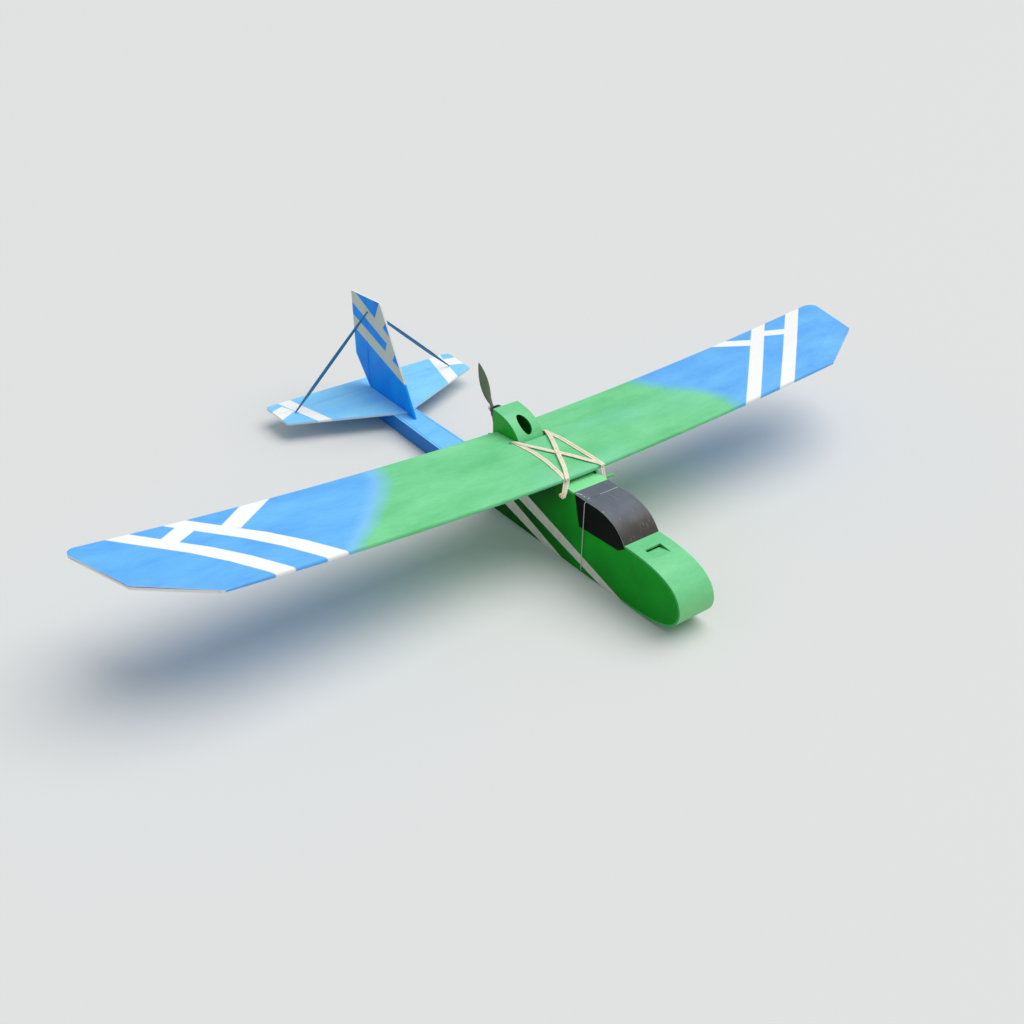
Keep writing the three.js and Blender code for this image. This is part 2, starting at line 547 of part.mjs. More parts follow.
const fin = () => {
  const topAtHinge = 97.4;
  const shape = shapeOf([
    [553, BOOM_TOP_Z + GAP], [STAB_APEX_Y - 1, BOOM_TOP_Z + GAP], [STAB_APEX_Y - 1, STAB_TOP_Z + GAP],
    [RUDDER_HINGE_Y - 0.6, STAB_TOP_Z + GAP], [RUDDER_HINGE_Y - 0.6, topAtHinge], [684, 102], [677, 95],
  ]);
  piece('fin', sidePlate(shape, -BOARD / 2, BOARD / 2), BLUE);
  const bevel = BOARD / 2;
  const blade = shapeOf([
    [RUDDER_HINGE_Y, -118.5], [794, -56], RUDDER_TOP, [RUDDER_HINGE_Y, topAtHinge],
  ]);
  const wedge = planPlate(shapeOf([
    [0, RUDDER_HINGE_Y], [bevel, RUDDER_HINGE_Y + bevel], [bevel, 820], [-bevel, 820],
    [-bevel, RUDDER_HINGE_Y + bevel],
  ]), -140, 120);
  piece('rudder', common(sidePlate(blade, -BOARD, BOARD), wedge), BLUE);
};

// a flat strut, widest in its middle, leaning back as it climbs from the stabiliser to the fin
const BRACE = { foot: [203, STAB_TOP_Z + 1.7], head: [3.9, 66.5], footY: 719.5, headY: 728.5, thick: 3 };
const BRACE_HALF_WIDTHS = [[0, 1.2], [0.14, 2.7], [0.4, 3.8], [0.75, 3.8], [1, 1.2]]; // by share of its length
const braces = () => SIDES.forEach(([side, sign]) => {
  const head = new THREE.Vector2(sign * BRACE.head[0], BRACE.head[1]);
  const run = new THREE.Vector2(sign * BRACE.foot[0], BRACE.foot[1]).sub(head);
  const across = new THREE.Vector2(-run.y, run.x).normalize().multiplyScalar(sign);
  const edge = (along, offset) => head.clone().addScaledVector(run, along).addScaledVector(across, offset);
  const outline = [
    ...BRACE_HALF_WIDTHS.map(([along, half]) => edge(along, -half)),
    ...BRACE_HALF_WIDTHS.map(([along, half]) => edge(along, half)).reverse(),
  ];
  const strut = warp(frontPlate(new THREE.Shape(outline), 0, BRACE.thick), (point) => {
    const along = (point.x - head.x) / run.x;
    point.y += BRACE.headY + (BRACE.footY - BRACE.headY) * along;
  });
  piece(`brace_${side}`, strut, BLUE);
});

// ------------------------------------------------------------------ control linkages
const hole = (from, to, radius) => rodBetween(from, to, radius, 14);

const servo = (place) => {
  const body = block(-6, 6, -17, 6, -22, 0);
  const ears = block(-6, 6, -22.5, 11.5, -7, -5);
  const turret = new THREE.CylinderGeometry(5.6, 5.6, 3.4, 20).rotateX(Math.PI / 2).translate(0, 0, 1.7);
  const shaft = new THREE.CylinderGeometry(2, 2, 3.6, 16).rotateX(Math.PI / 2).translate(0, 0, 4.6);
  return place(join(body, ears, turret, shaft));
};

// an arm pointing along +X from its shaft, 2 mm thick, bored for the shaft and for the rod's end
const servoArm = (length) => {
  const shape = new THREE.Shape();
  shape.moveTo(0, -3.6);
  shape.lineTo(length, -2.1);
  shape.absarc(length, 0, 2.1, -Math.PI / 2, Math.PI / 2, false);
  shape.lineTo(0, 3.6);
  shape.absarc(0, 0, 3.6, Math.PI / 2, Math.PI * 1.5, false);
  shape.holes.push(new THREE.Path().absarc(0, 0, 2.25, 0, 2 * Math.PI, true));
  shape.holes.push(new THREE.Path().absarc(length, 0, 1, 0, 2 * Math.PI, true));
  return planPlate(shape, 0, 2);
};

const ROD_R = 0.7;
const pushrod = (from, to, drop) => {
  const ends = [from, to].map((end) => [end, end.map((value, i) => value + drop[i])]);
  const knuckles = [from, to].map((end) => new THREE.SphereGeometry(ROD_R, 12, 8).translate(...end));
  return join(rodBetween(from, to, ROD_R, 10), ...ends.map(([a, b]) => rodBetween(a, b, ROD_R, 10)), ...knuckles);
};

const rudderLinkage = () => {
  const [servoX, servoY] = RUDDER_SERVO;
  const bodyTop = STAB_TOP_Z + GAP + 22;
  const armZ = bodyTop + 4;
  piece('rudder_servo', servo((body) => body.translate(servoX, servoY, bodyTop)), SERVO_BLUE);
  piece('rudder_servo_arm', servoArm(RUDDER_HORN_R).translate(servoX, servoY, armZ), NYLON);
  const face = BOARD / 2 + GAP;
  const base = block(face, face + 1.5, RUDDER_HINGE_Y + 4, RUDDER_HINGE_Y + 19, armZ - 3, armZ + 7);
  const tip = planPlate(shapeOf([
    [face + 1, RUDDER_HINGE_Y + 5], [face + 1, RUDDER_HINGE_Y + 16],
    [RUDDER_HORN_R + 2.4, RUDDER_HINGE_Y + 2.4], [RUDDER_HORN_R + 2.4, RUDDER_HINGE_Y - 2.2],
    [RUDDER_HORN_R - 2.4, RUDDER_HINGE_Y - 2.2],
  ]), armZ, armZ + 1.6);
  const bore = hole([RUDDER_HORN_R, RUDDER_HINGE_Y, armZ - 3], [RUDDER_HORN_R, RUDDER_HINGE_Y, armZ + 6], 1);
  piece('rudder_horn', cut(join(base, tip), bore), NYLON);
  const rodZ = armZ + 3.2;
  piece('rudder_pushrod', pushrod([servoX + RUDDER_HORN_R, servoY, rodZ], [RUDDER_HORN_R, RUDDER_HINGE_Y, rodZ],
    [0, 0, -4.6]), ALLOY);
};

const elevatorLinkage = () => {
  const [servoY, servoZ] = ELEVATOR_SERVO;
  const faceX = 35.7; // outer end of the servo's case
  const armX = faceX + 4;
  const onSide = (body) => body.rotateY(Math.PI / 2).translate(faceX, servoY, servoZ);
  piece('elevator_servo', servo(onSide), SERVO_BLUE);
  piece('elevator_servo_arm',
    servoArm(ELEVATOR_HORN_R).rotateY(Math.PI / 2).translate(armX, servoY, servoZ), NYLON);
  const holeZ = STAB_TOP_Z - ELEVATOR_HORN_R;
  const baseTop = STAB_BOTTOM_Z - GAP;
  const base = block(armX - 5, armX + 7, 745, 760, baseTop - 1.5, baseTop);
  const web = sidePlate(shapeOf([
    [746, baseTop - 1], [757, baseTop - 1], [ELEVATOR_HINGE_Y + 2.4, holeZ - 2.2],
    [ELEVATOR_HINGE_Y - 2.2, holeZ - 2.2], [ELEVATOR_HINGE_Y - 2.2, holeZ + 2.4],
  ]), armX, armX + 1.6);
  const bore = hole([armX - 3, ELEVATOR_HINGE_Y, holeZ], [armX + 6, ELEVATOR_HINGE_Y, holeZ], 1);
  piece('elevator_horn', cut(join(base, web), bore), NYLON);
  const rodX = armX + 3.2;
  piece('elevator_pushrod', pushrod([rodX, servoY, servoZ - ELEVATOR_HORN_R], [rodX, ELEVATOR_HINGE_Y, holeZ],
    [-4.6, 0, 0]), ALLOY);
};

// ------------------------------------------------------------------ motor and propeller, on an axis along Y
const motor = () => {
  piece('motor_mount', turned([
    [2.3, BODY_REAR_Y], [13, BODY_REAR_Y], [13, 234], [9, 234.2], [2.3, 234.2], [2.3, BODY_REAR_Y]]), ALLOY);
  piece('motor_stator', turned([
    [2.3, 234.5], [8.5, 234.5], [8.5, 241], [11.4, 242], [11.4, 255], [4, 255.5], [2.3, 255.5],
    [2.3, 234.5]]), COPPER);
  const bell = turned([
    [0, 236], [1.9, 236], [1.9, 258], [11.9, 258.4], [11.9, 239.5], [14, 239.5], [14, 259.5], [12.4, 261.4],
    [1.9, 261.4], [1.9, 264], [0, 264]]);
  const vents = Array.from({ length: 6 }, (_, i) => {
    const angle = (i * Math.PI) / 3;
    const [x, z] = [7.4 * Math.cos(angle), MOTOR_Z + 7.4 * Math.sin(angle)];
    return rodBetween([x, 256.5, z], [x, 263, z], 2.3, 12);
  });
  piece('motor_bell', cut(bell, ...vents), DARK_STEEL);
  piece('prop_adapter', turned([
    [2.2, 261.7], [6.4, 261.7], [7.4, 266], [2.5, 266], [2.5, 282], [0, 282], [0, 264.4], [2.2, 264.4],
    [2.2, 261.7]]), ALLOY);
  piece('prop_nut', turned([
    [3.1, 274.6], [5.4, 274.6], [5.4, 279.5], [4.6, 282.4], [2.8, 284.6], [0, 285.4], [0, 282.4],
    [3.1, 282.4], [3.1, 274.6]], 6), NYLON);
};

const PROP_R = 115;
const PROP_PITCH = 127;
const PROP_CHORD = 25;
const PROP_PLANE_Y = 270.3;
const PROP_LEAN = 0.31; // the blade leans this far to starboard of upright

// blade chord and the places of its two edges across the blade, by fraction of the radius
const bladeChord = (t) => {
  const taper = Math.sqrt(Math.max(0, 1 - t ** 6));
  return PROP_CHORD * taper * (0.42 + 0.58 * Math.sin(Math.PI * Math.min(1, t * 1.02)));
};

const blade = () => {
  const stations = 14;
  const around = 12;
  const rings = Array.from({ length: stations }, (_, i) => {
    const t = 0.04 + 0.955 * (i / (stations - 1));
    const radius = t * PROP_R;
    const chord = Math.max(1.2, bladeChord(t));
    const thick = 3.4 - 2.4 * t;
    const pitch = Math.min(0.75, Math.atan(PROP_PITCH / (2 * Math.PI * radius)));
    const sweep = -0.1 * chord;
    return Array.from({ length: around }, (_, k) => {
      const angle = (2 * Math.PI * k) / around;
      const across = sweep + (chord / 2) * Math.cos(angle);
      const deep = (thick / 2) * Math.sin(angle);
      const [c, s] = [Math.cos(pitch), Math.sin(pitch)];
      return [across * c - deep * s, across * s + deep * c, radius];
    });
  });
  return loft(rings);
};

const propeller = () => {
  const hub = turned([
    [0, 266.3], [6.8, 266.3], [7.2, 268], [7.2, 273], [6.4, 274.3], [0, 274.3]], 24).translate(0, 0, -MOTOR_Z);
  const blades = [0, Math.PI].map((turn) => blade().rotateY(turn).translate(0, PROP_PLANE_Y, 0));
  const bore = rodBetween([0, 260, 0], [0, 280, 0], 2.8, 20);
  const seat = rodBetween([0, 255, 0], [0, 266.3, 0], 8.6, 24);
  const whole = cut(join(hub, ...blades), bore, seat);
  piece('propeller', whole.rotateY(-PROP_LEAN).translate(0, 0, MOTOR_Z), PROP_GREY);
};

// ------------------------------------------------------------------ radio gear and battery
const TRAY_Z = [-96, -93];
const BATTERY_HALF = 17;

const radioGear = () => {
  const floor = TRAY_Z[1] + GAP;
  const slots = [-1, 1].map((sign) =>
    block(...spanX(sign, BATTERY_HALF + 0.2, BATTERY_HALF + 2.8), -108.5, -85.5, -100, -90));
  piece('equipment_tray', cut(
    block(-BODY_HALF + BOARD + GAP, BODY_HALF - BOARD - GAP, -159.5, 118, ...TRAY_Z), ...slots), PLYWOOD);
  piece('battery', block(-BATTERY_HALF, BATTERY_HALF, -150, -45, floor, floor + 24), BATTERY_WRAP);
  const strapX = BATTERY_HALF + 0.6;
  const [strapLow, strapHigh] = [TRAY_Z[0] - GAP, floor + 24.5];
  const strap = shapeOf([
    [-strapX - 1.4, strapLow - 1.4], [strapX + 1.4, strapLow - 1.4], [strapX + 1.4, strapHigh + 1.4],
    [-strapX - 1.4, strapHigh + 1.4]]);
  strap.holes.push(new THREE.Path([
    [-strapX, strapLow], [-strapX, strapHigh], [strapX, strapHigh], [strapX, strapLow],
  ].map(([x, z]) => new THREE.Vector2(x, z))));
  piece('battery_strap', frontPlate(strap, -107, -87), BLACK);
  piece('speed_controller', block(-25, 0, 5, 57, floor, floor + 10), BLACK);
  piece('receiver', block(6, 28, 66, 110, floor, floor + 14), BLACK);
};

const wiring = () => {
  piece('motor_leads', tubeAlong([
    [-12.5, 57.3, -87.6], [-12.5, 80, -87.6], [-11.5, 118, -85], [-10, 142, -78], [-9, 170, -58],
    [-8, 198, -28], [-7, 214, -6], [-7, 225, 2.6], [-7, 234, 4.4]], 2, 34), BLACK);
  const trunk = tubeAlong([
    [16, 110.3, -86], [16, 122, -88], [13, 130, -104], [9, 138, -126], [6, 152, -144], [5, 180, -150],
    [5, 300, -151], [5, 450, -151], [5, 580, -150], [8, 606, -143], [9.2, LEAD_EXIT_Y, -130],
    [9.2, LEAD_EXIT_Y, -119],
    [9.2, 616, -112], [9.2, 621.5, -111.5]], 1.4, 60);
  const branch = tubeAlong([
    [5, 590, -149.5], [6, 606, -149], [14, 614, -146], [17.6, 619, -142.4], [18, 621.5, -142]], 1.2, 14);
  piece('servo_leads', join(trunk, branch), BLACK);
};

// the receiver's aerial: out through a notch in the starboard side, round a bend and straight down
const AERIAL_BEND = { x: -39.2, z: -9.4, radius: 3.6 };
const aerial = () => {
  const { x, z, radius } = AERIAL_BEND;
  const bendPoints = [0, 30, 60, 90].map((degrees) => {
    const angle = (degrees * Math.PI) / 180;
    return [x - radius * Math.sin(angle), -60, z - radius + radius * Math.cos(angle)];
  });
  const hanging = [-15.4, -19, -25, -40, -62, -88, -112, -134, -155].map((low) => [x - radius, -60, low]);
  const path = [[x + 3.6, -60, z - 0.3], [x + 1.8, -60, z - 0.1], ...bendPoints, ...hanging];
  piece('antenna_wire', tubeAlong(path, 0.65, 52), NYLON);
};

[fuselageSides, fuselageSkins, noseSkin, formers, pod, wing, dowels, rubberBands, boom, tailplane, fin, braces,
  rudderLinkage, elevatorLinkage, motor, propeller, radioGear, wiring, aerial].forEach((make) => make());

const noseTipY = Math.min(...NOSE_CURVE.map((point) => point.x));
plane.position.set(0, -(noseTipY + RUDDER_TOP[0]) / 2, -BELLY_Z);

const model = new THREE.Group();
model.add(plane);
export default model;
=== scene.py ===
"""Looks of the rubber-banded foam-board aircraft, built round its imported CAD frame."""
import json
import math

import bmesh
import bpy
from mathutils import Euler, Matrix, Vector

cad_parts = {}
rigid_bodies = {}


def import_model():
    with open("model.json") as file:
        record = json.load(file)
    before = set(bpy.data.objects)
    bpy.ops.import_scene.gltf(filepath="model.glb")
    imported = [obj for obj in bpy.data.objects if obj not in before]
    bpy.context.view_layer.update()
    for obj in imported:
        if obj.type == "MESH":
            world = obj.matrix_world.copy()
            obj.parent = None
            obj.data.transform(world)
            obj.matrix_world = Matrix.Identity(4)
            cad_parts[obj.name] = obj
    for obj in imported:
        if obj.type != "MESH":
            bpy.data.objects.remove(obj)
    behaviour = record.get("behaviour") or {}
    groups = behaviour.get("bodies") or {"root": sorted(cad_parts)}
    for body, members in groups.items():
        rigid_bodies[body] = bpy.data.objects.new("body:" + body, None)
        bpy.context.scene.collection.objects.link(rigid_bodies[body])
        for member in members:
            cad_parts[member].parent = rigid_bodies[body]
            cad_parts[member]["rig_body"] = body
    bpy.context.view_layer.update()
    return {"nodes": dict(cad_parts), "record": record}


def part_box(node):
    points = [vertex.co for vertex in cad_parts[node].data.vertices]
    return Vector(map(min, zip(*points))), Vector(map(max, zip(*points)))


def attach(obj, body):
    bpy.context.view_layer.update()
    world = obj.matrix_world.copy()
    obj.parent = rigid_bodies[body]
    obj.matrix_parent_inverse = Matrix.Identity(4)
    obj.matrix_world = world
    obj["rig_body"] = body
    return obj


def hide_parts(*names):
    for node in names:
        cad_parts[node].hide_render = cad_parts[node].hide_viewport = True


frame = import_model()
NODES = frame["nodes"]

MM = 0.001
# Every outline and route below is drawn in millimetres from the leading edge at the wing's root.
LEADING_EDGE_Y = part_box("wing_top_skin_port")[0].y
ROOT_Z = 0.160


def place(x, y, z):
    """A point of the drawing, in millimetres, as a point of the row frame in metres."""
    return Vector((x * MM, y * MM + LEADING_EDGE_Y, z * MM + ROOT_Z))


# ------------------------------------------------------------------ camera
CAMERA_PLACE = (-1.2297, -1.6355, 1.2671)
CAMERA_TURN = (57.375, -0.881, -37.059)  # in degrees
CAMERA_SENSOR = 36
CAMERA_LENS = 41.885
CAMERA_REACH = 60  # metres that it sees


def make_camera():
    data = bpy.data.cameras.new("camera")
    data.sensor_width = CAMERA_SENSOR
    data.lens = CAMERA_LENS
    data.clip_end = CAMERA_REACH
    camera = bpy.data.objects.new("camera", data)
    camera.location = CAMERA_PLACE
    camera.rotation_euler = Euler([math.radians(degrees) for degrees in CAMERA_TURN])
    bpy.context.scene.collection.objects.link(camera)
    bpy.context.scene.camera = camera


# ------------------------------------------------------------------ procedural paint
SEED_STEP = (37.0, 91.0, 53.0)  # how far one seed's noise lies from the next, so that no two look alike
USUAL_NOISE = (0.3, 0.7)  # the range in which most noise lies


class Paint:
    """A material whose colours are worked out from where a point lies on the drawing, in millimetres."""

    def __init__(self, name):
        self.material = bpy.data.materials.new(name)
        self.material.use_nodes = True
        self.tree = self.material.node_tree
        self.shader = self.tree.nodes["Principled BSDF"]
        coordinates = self.node("ShaderNodeTexCoord")
        grow = self.vector("SCALE", coordinates.outputs["Object"], scale=1000)
        self.at = self.vector("ADD", grow, (0, -LEADING_EDGE_Y * 1000, -ROOT_Z * 1000))
        self.near = self.at

    def node(self, kind):
        return self.tree.nodes.new(kind)

    def feed(self, socket, value):
        if isinstance(value, bpy.types.NodeSocket):
            self.tree.links.new(value, socket)
        elif socket.type == "VECTOR":
            socket.default_value = value[:3]
        else:
            socket.default_value = value

    def vector(self, operation, a, b=None, scale=None):
        node = self.node("ShaderNodeVectorMath")
        node.operation = operation
        self.feed(node.inputs[0], a)
        if b is not None:
            self.feed(node.inputs[1], b)
        if scale is not None:
            node.inputs["Scale"].default_value = scale
        return node.outputs["Value" if operation in ("DOT_PRODUCT", "LENGTH") else "Vector"]

    def math(self, operation, a, b=0.0, c=None, clamp=False):
        node = self.node("ShaderNodeMath")
        node.operation = operation
        node.use_clamp = clamp
        self.feed(node.inputs[0], a)
        self.feed(node.inputs[1], b)
        if c is not None:
            self.feed(node.inputs[2], c)
        return node.outputs[0]

    def noise(self, size, detail=3.0, stretch=(1, 1, 1), rough=0.5, seed=0.0):
        """Soft noise from 0 to 1 whose blotches are about size millimetres across."""
        moved = self.vector("ADD", self.at, [seed * step for step in SEED_STEP])
        node = self.node("ShaderNodeTexNoise")
        node.inputs["Scale"].default_value = 1.0 / size
        node.inputs["Detail"].default_value = detail
        node.inputs["Roughness"].default_value = rough
        self.feed(node.inputs["Vector"], self.vector("MULTIPLY", moved, stretch))
        return node.outputs["Fac"]

    def wobble(self, size, amount):
        """Later shapes are drawn with edges that wander a little, as masked paint does."""
        node = self.node("ShaderNodeTexNoise")
        node.inputs["Scale"].default_value = 1.0 / size
        self.feed(node.inputs["Vector"], self.at)
        centred = self.vector("SUBTRACT", node.outputs["Color"], (0.5, 0.5, 0.5))
        self.near = self.vector("ADD", self.at, self.vector("SCALE", centred, scale=2 * amount))

    def axis(self, which):
        """The drawing's X, Y or Z."""
        node = self.node("ShaderNodeSeparateXYZ")
        self.feed(node.inputs[0], self.near)
        return node.outputs[which]

    def facing(self, which):
        """How squarely the surface faces along one of the piece's own axes, from 0 to 1."""
        geometry = self.node("ShaderNodeNewGeometry")
        local = self.node("ShaderNodeVectorTransform")
        local.vector_type = "NORMAL"
        local.convert_from = "WORLD"
        local.convert_to = "OBJECT"
        self.feed(local.inputs[0], geometry.outputs["True Normal"])
        node = self.node("ShaderNodeSeparateXYZ")
        self.feed(node.inputs[0], local.outputs[0])
        return self.math("ABSOLUTE", node.outputs[which])

    def left_of(self, plane, a, b):
        """Distance to the left of the line from a to b, in the drawing's plane, such as "XY"."""
        along = (Vector(b) - Vector(a)).normalized()
        normal = [0.0, 0.0, 0.0]
        normal["XYZ".index(plane[0])] = -along.y
        normal["XYZ".index(plane[1])] = along.x
        offset = -(a[0] * -along.y + a[1] * along.x)
        return self.math("ADD", self.vector("DOT_PRODUCT", self.near, normal), offset)

    def least(self, *values):
        result = values[0]
        for value in values[1:]:
            result = self.math("MINIMUM", result, value)
        return result

    def most(self, *values):
        result = values[0]
        for value in values[1:]:
            result = self.math("MAXIMUM", result, value)
        return result

    def shape(self, plane, points):
        """Distance inside a convex outline."""
        turn = sum(a[0] * b[1] - b[0] * a[1] for a, b in zip(points, points[1:] + points[:1]))
        ring = points if turn > 0 else points[::-1]
        return self.least(*(self.left_of(plane, a, b) for a, b in zip(ring, ring[1:] + ring[:1])))

    def stripe(self, plane, a, b, c, d):
        """Distance inside the endless stripe between the line a to b and the line c to d."""
        first, second = self.left_of(plane, a, b), self.left_of(plane, d, c)
        middle = [(c[i] + d[i]) / 2 for i in (0, 1)]
        along = Vector(b) - Vector(a)
        if along.x * (middle[1] - a[1]) - along.y * (middle[0] - a[0]) < 0:
            first, second = self.left_of(plane, b, a), self.left_of(plane, c, d)
        return self.least(first, second)

    def marks(self, plane, stripes=(), shapes=()):
        """Distance inside whichever of these stripes and convex outlines a point is in."""
        return self.most(*(self.stripe(plane, *corners) for corners in stripes),
                         *(self.shape(plane, points) for points in shapes))

    def opposite(self, value):
        return self.math("MULTIPLY", value, -1.0)

    def soft(self, distance, width):
        """1 inside and 0 outside, over an edge of that width."""
        return self.math("MULTIPLY_ADD", distance, 1.0 / width, 0.5, clamp=True)

    def past(self, which, limit, width):
        """1 where the drawing's X, Y or Z is past limit and 0 before it, over that width."""
        return self.soft(self.math("SUBTRACT", self.axis(which), limit), width)

    def before(self, which, limit, width):
        return self.soft(self.math("SUBTRACT", limit, self.axis(which)), width)

    def faces(self, which, limit, width):
        """1 on surfaces that face along one of the piece's own axes and 0 on those that don't."""
        return self.soft(self.math("SUBTRACT", self.facing(which), limit), width)

    def rims(self, which, limit, width):
        """1 on surfaces that don't face along one of the piece's own axes and 0 on those that do."""
        return self.soft(self.math("SUBTRACT", limit, self.facing(which)), width)

    def mix(self, share, a, b):
        """a where share is 0, and b where it is 1."""
        node = self.node("ShaderNodeMix")
        node.data_type = "RGBA"
        self.feed(node.inputs["Factor"], share)
        self.feed(node.inputs["A"], a)
        self.feed(node.inputs["B"], b)
        return node.outputs["Result"]

    def tone(self, noise, low, high):
        """Noise brought into the range from low to high."""
        node = self.node("ShaderNodeMapRange")
        self.feed(node.inputs["Value"], noise)
        node.inputs["From Min"].default_value = USUAL_NOISE[0]
        node.inputs["From Max"].default_value = USUAL_NOISE[1]
        node.inputs["To Min"].default_value = low
        node.inputs["To Max"].default_value = high
        return node.outputs["Result"]

    def shade(self, tint, amount):
        """tint made lighter or darker by a factor."""
        node = self.node("ShaderNodeVectorMath")
        node.operation = "SCALE"
        self.feed(node.inputs[0], tint)
        self.feed(node.inputs["Scale"], amount)
        return node.outputs["Vector"]

    def finish(self, tint, rough, bump=None, depth=0.0, metal=0.0, coat=0.0, shine=0.5):
        """The finished material. One unit of bump stands depth millimetres high."""
        self.feed(self.shader.inputs["Base Color"], tint)
        self.feed(self.shader.inputs["Roughness"], rough)
        self.shader.inputs["Specular IOR Level"].default_value = shine
        self.shader.inputs["Metallic"].default_value = metal
        self.shader.inputs["Coat Weight"].default_value = coat
        if bump is not None:
            node = self.node("ShaderNodeBump")
            node.inputs["Strength"].default_value = 1.0
            node.inputs["Distance"].default_value = depth * MM
            self.feed(node.inputs["Height"], bump)
            self.feed(self.shader.inputs["Normal"], node.outputs["Normal"])
        return self.material


def colour(red, green, blue):
    """A linear colour from screen values of 0 to 255."""
    def linear(value):
        value /= 255
        return value / 12.92 if value <= 0.04045 else ((value + 0.055) / 1.055) ** 2.4
    return (linear(red), linear(green), linear(blue), 1.0)


LIGHT_GREEN = colour(118, 214, 142)
BRIGHT_GREEN = colour(128, 219, 157)
POOLED_GREEN = colour(100, 200, 132)
TEAL = colour(118, 212, 180)
DEEP_GREEN = colour(8, 164, 34)
PALE_BLUE = colour(124, 204, 255)
SKY_BLUE = colour(108, 190, 252)
POOLED_BLUE = colour(88, 170, 246)
HAZE = colour(176, 224, 250)
DEEP_BLUE = colour(4, 162, 255)
WHITE = colour(250, 250, 247)
BARE_FOAM = colour(240, 240, 234)
# Painted shade on the fuselage sides: darker towards the belly, towards the rear, and just under the wing.
BELLY_SHADE_GREEN = colour(4, 128, 24)
REAR_SHADE_GREEN = colour(2, 84, 14)
UNDER_WING_SHADE_GREEN = colour(1, 44, 5)
# Painted shade low on the nose, which faces away from the sky.
LOW_NOSE_SHADE_GREEN = colour(146, 204, 122)
STRIPE_CREAM = colour(226, 220, 206)
WINDOW_BLACK = colour(1, 1, 2)
FIN_WHITE = colour(206, 214, 204)

DENTS_TO_GRAIN = 6.0  # how much higher the dents are than the grain


def foam_height(paint):
    """Fine skin grain of painted foam board, with shallow dents."""
    grain = paint.noise(1.1, 4.0, rough=0.65)
    dents = paint.noise(26.0, 2.0, seed=2)
    return paint.math("MULTIPLY_ADD", dents, DENTS_TO_GRAIN, grain)


def brushed(paint, light, pooled, seed=0.0):
    """Sprayed paint that is thicker in long soft patches along the span."""
    patches = paint.tone(paint.noise(46.0, 4.0, stretch=(0.35, 1, 1), seed=seed), 0.0, 1.0)
    fine = paint.tone(paint.noise(5.0, 3.0, stretch=(0.3, 1, 1), seed=seed + 3), 0.96, 1.04)
    return paint.shade(paint.mix(patches, light, pooled), fine)


# The look-up curve is a unit square, which stands for this much chord and span, in millimetres.
CURVE_CHORD = 240
CURVE_SPAN = 1000
CURVE_LEAD = 0.04  # part of the square that lies in front of the leading edge


def span_curve(paint, points):
    """The span at which two colours meet, looked up along the chord."""
    node = paint.node("ShaderNodeFloatCurve")
    curve = node.mapping.curves[0]
    for index, (chord, span) in enumerate(points):
        spot = (chord / CURVE_CHORD + CURVE_LEAD, span / CURVE_SPAN)
        if index < 2:
            curve.points[index].location = spot
        else:
            curve.points.new(*spot)
    node.mapping.update()
    along = paint.math("MULTIPLY_ADD", paint.axis("Y"), 1 / CURVE_CHORD, CURVE_LEAD)
    paint.feed(node.inputs["Value"], along)
    return paint.math("MULTIPLY", node.outputs[0], CURVE_SPAN)


# Where the green ends, as points of chord and span.
GREEN_ENDS_PORT = [(0, 398), (59, 393), (117, 356), (220, 310)]
GREEN_ENDS_STARBOARD = [(0, 462), (54, 402), (151, 322), (220, 292)]
SPRAY_EDGE = 44  # millimetres over which green turns into blue
HAZE_RISE = 46  # and over which the starboard haze between them comes in
HAZE_FALL = 90  # and goes out
HAZE_SHIFT = 5.0  # how much further out the starboard green ends than the middle of its haze
WING_STRIPES = [
    [(-793, 220), (-611, 0), (-755, 220), (-577, 0)],
    [(-699, 220), (-521, 0), (-660, 220), (-483, 0)],
    [(669, 220), (423, 0), (711, 220), (465, 0)],
    [(777, 220), (521, 0), (820, 220), (563, 0)],
]
WING_LINKS = [
    [(-724, 173), (-701, 150), (-655, 183), (-680, 207)],
    [(-624, 167), (-598, 145), (-494, 233), (-550, 233)],
    [(646, 186), (668, 204), (722, 162), (702, 143)],
    [(632, 177), (610, 156), (536, 230), (576, 230)],
]


def wing_colours(paint, striped):
    """Green inboard and blue outboard, met by airbrush, with bare cut tips and masked white stripes."""
    paint.wobble(60.0, 9.0)
    x = paint.axis("X")
    port = paint.math("SUBTRACT", x, span_curve(paint, GREEN_ENDS_PORT))
    starboard = paint.math("SUBTRACT", paint.opposite(x), span_curve(paint, GREEN_ENDS_STARBOARD))
    green = brushed(paint, BRIGHT_GREEN, POOLED_GREEN)
    cool = paint.tone(paint.noise(150.0, 2.0, stretch=(0.6, 1, 1), seed=21), -0.4, 0.45)
    green = paint.mix(paint.math("MAXIMUM", cool, 0.0), green, TEAL)
    blue = brushed(paint, SKY_BLUE, POOLED_BLUE, seed=5)
    hazy = paint.math("MULTIPLY", paint.soft(starboard, HAZE_RISE),
                      paint.soft(paint.opposite(starboard), HAZE_FALL))
    blue = paint.mix(hazy, blue, HAZE)
    outboard = paint.most(port, paint.math("SUBTRACT", starboard, HAZE_SHIFT))
    sprayed = paint.mix(paint.soft(outboard, SPRAY_EDGE), green, blue)
    painted = paint.mix(paint.faces("X", 0.3, 0.15), sprayed, BARE_FOAM)
    if not striped:
        return painted
    paint.wobble(7.0, 0.5)
    marks = paint.marks("XY", WING_STRIPES, WING_LINKS)
    return paint.mix(paint.soft(marks, width=1.6), painted, WHITE)


def wing_top_paint():
    paint = Paint("wing_top_paint")
    rough = paint.tone(paint.noise(18.0, 3.0, seed=7), 0.46, 0.6)
    return paint.finish(wing_colours(paint, striped=True), rough, foam_height(paint), 0.05, shine=0.35)


def wing_under_paint():
    paint = Paint("wing_under_paint")
    return paint.finish(wing_colours(paint, striped=False), 0.55, foam_height(paint), 0.05)


BODY_STRIPES = [
    [(232, -73.6), (-128, -164), (232, -42), (-128, -147)],
    [(232, -119), (60, -160), (232, -85), (37, -148)],
]
WINDOW = [(-27, 4), (-45, -68), (-152, -62), (-180, -40), (-166, 4)]


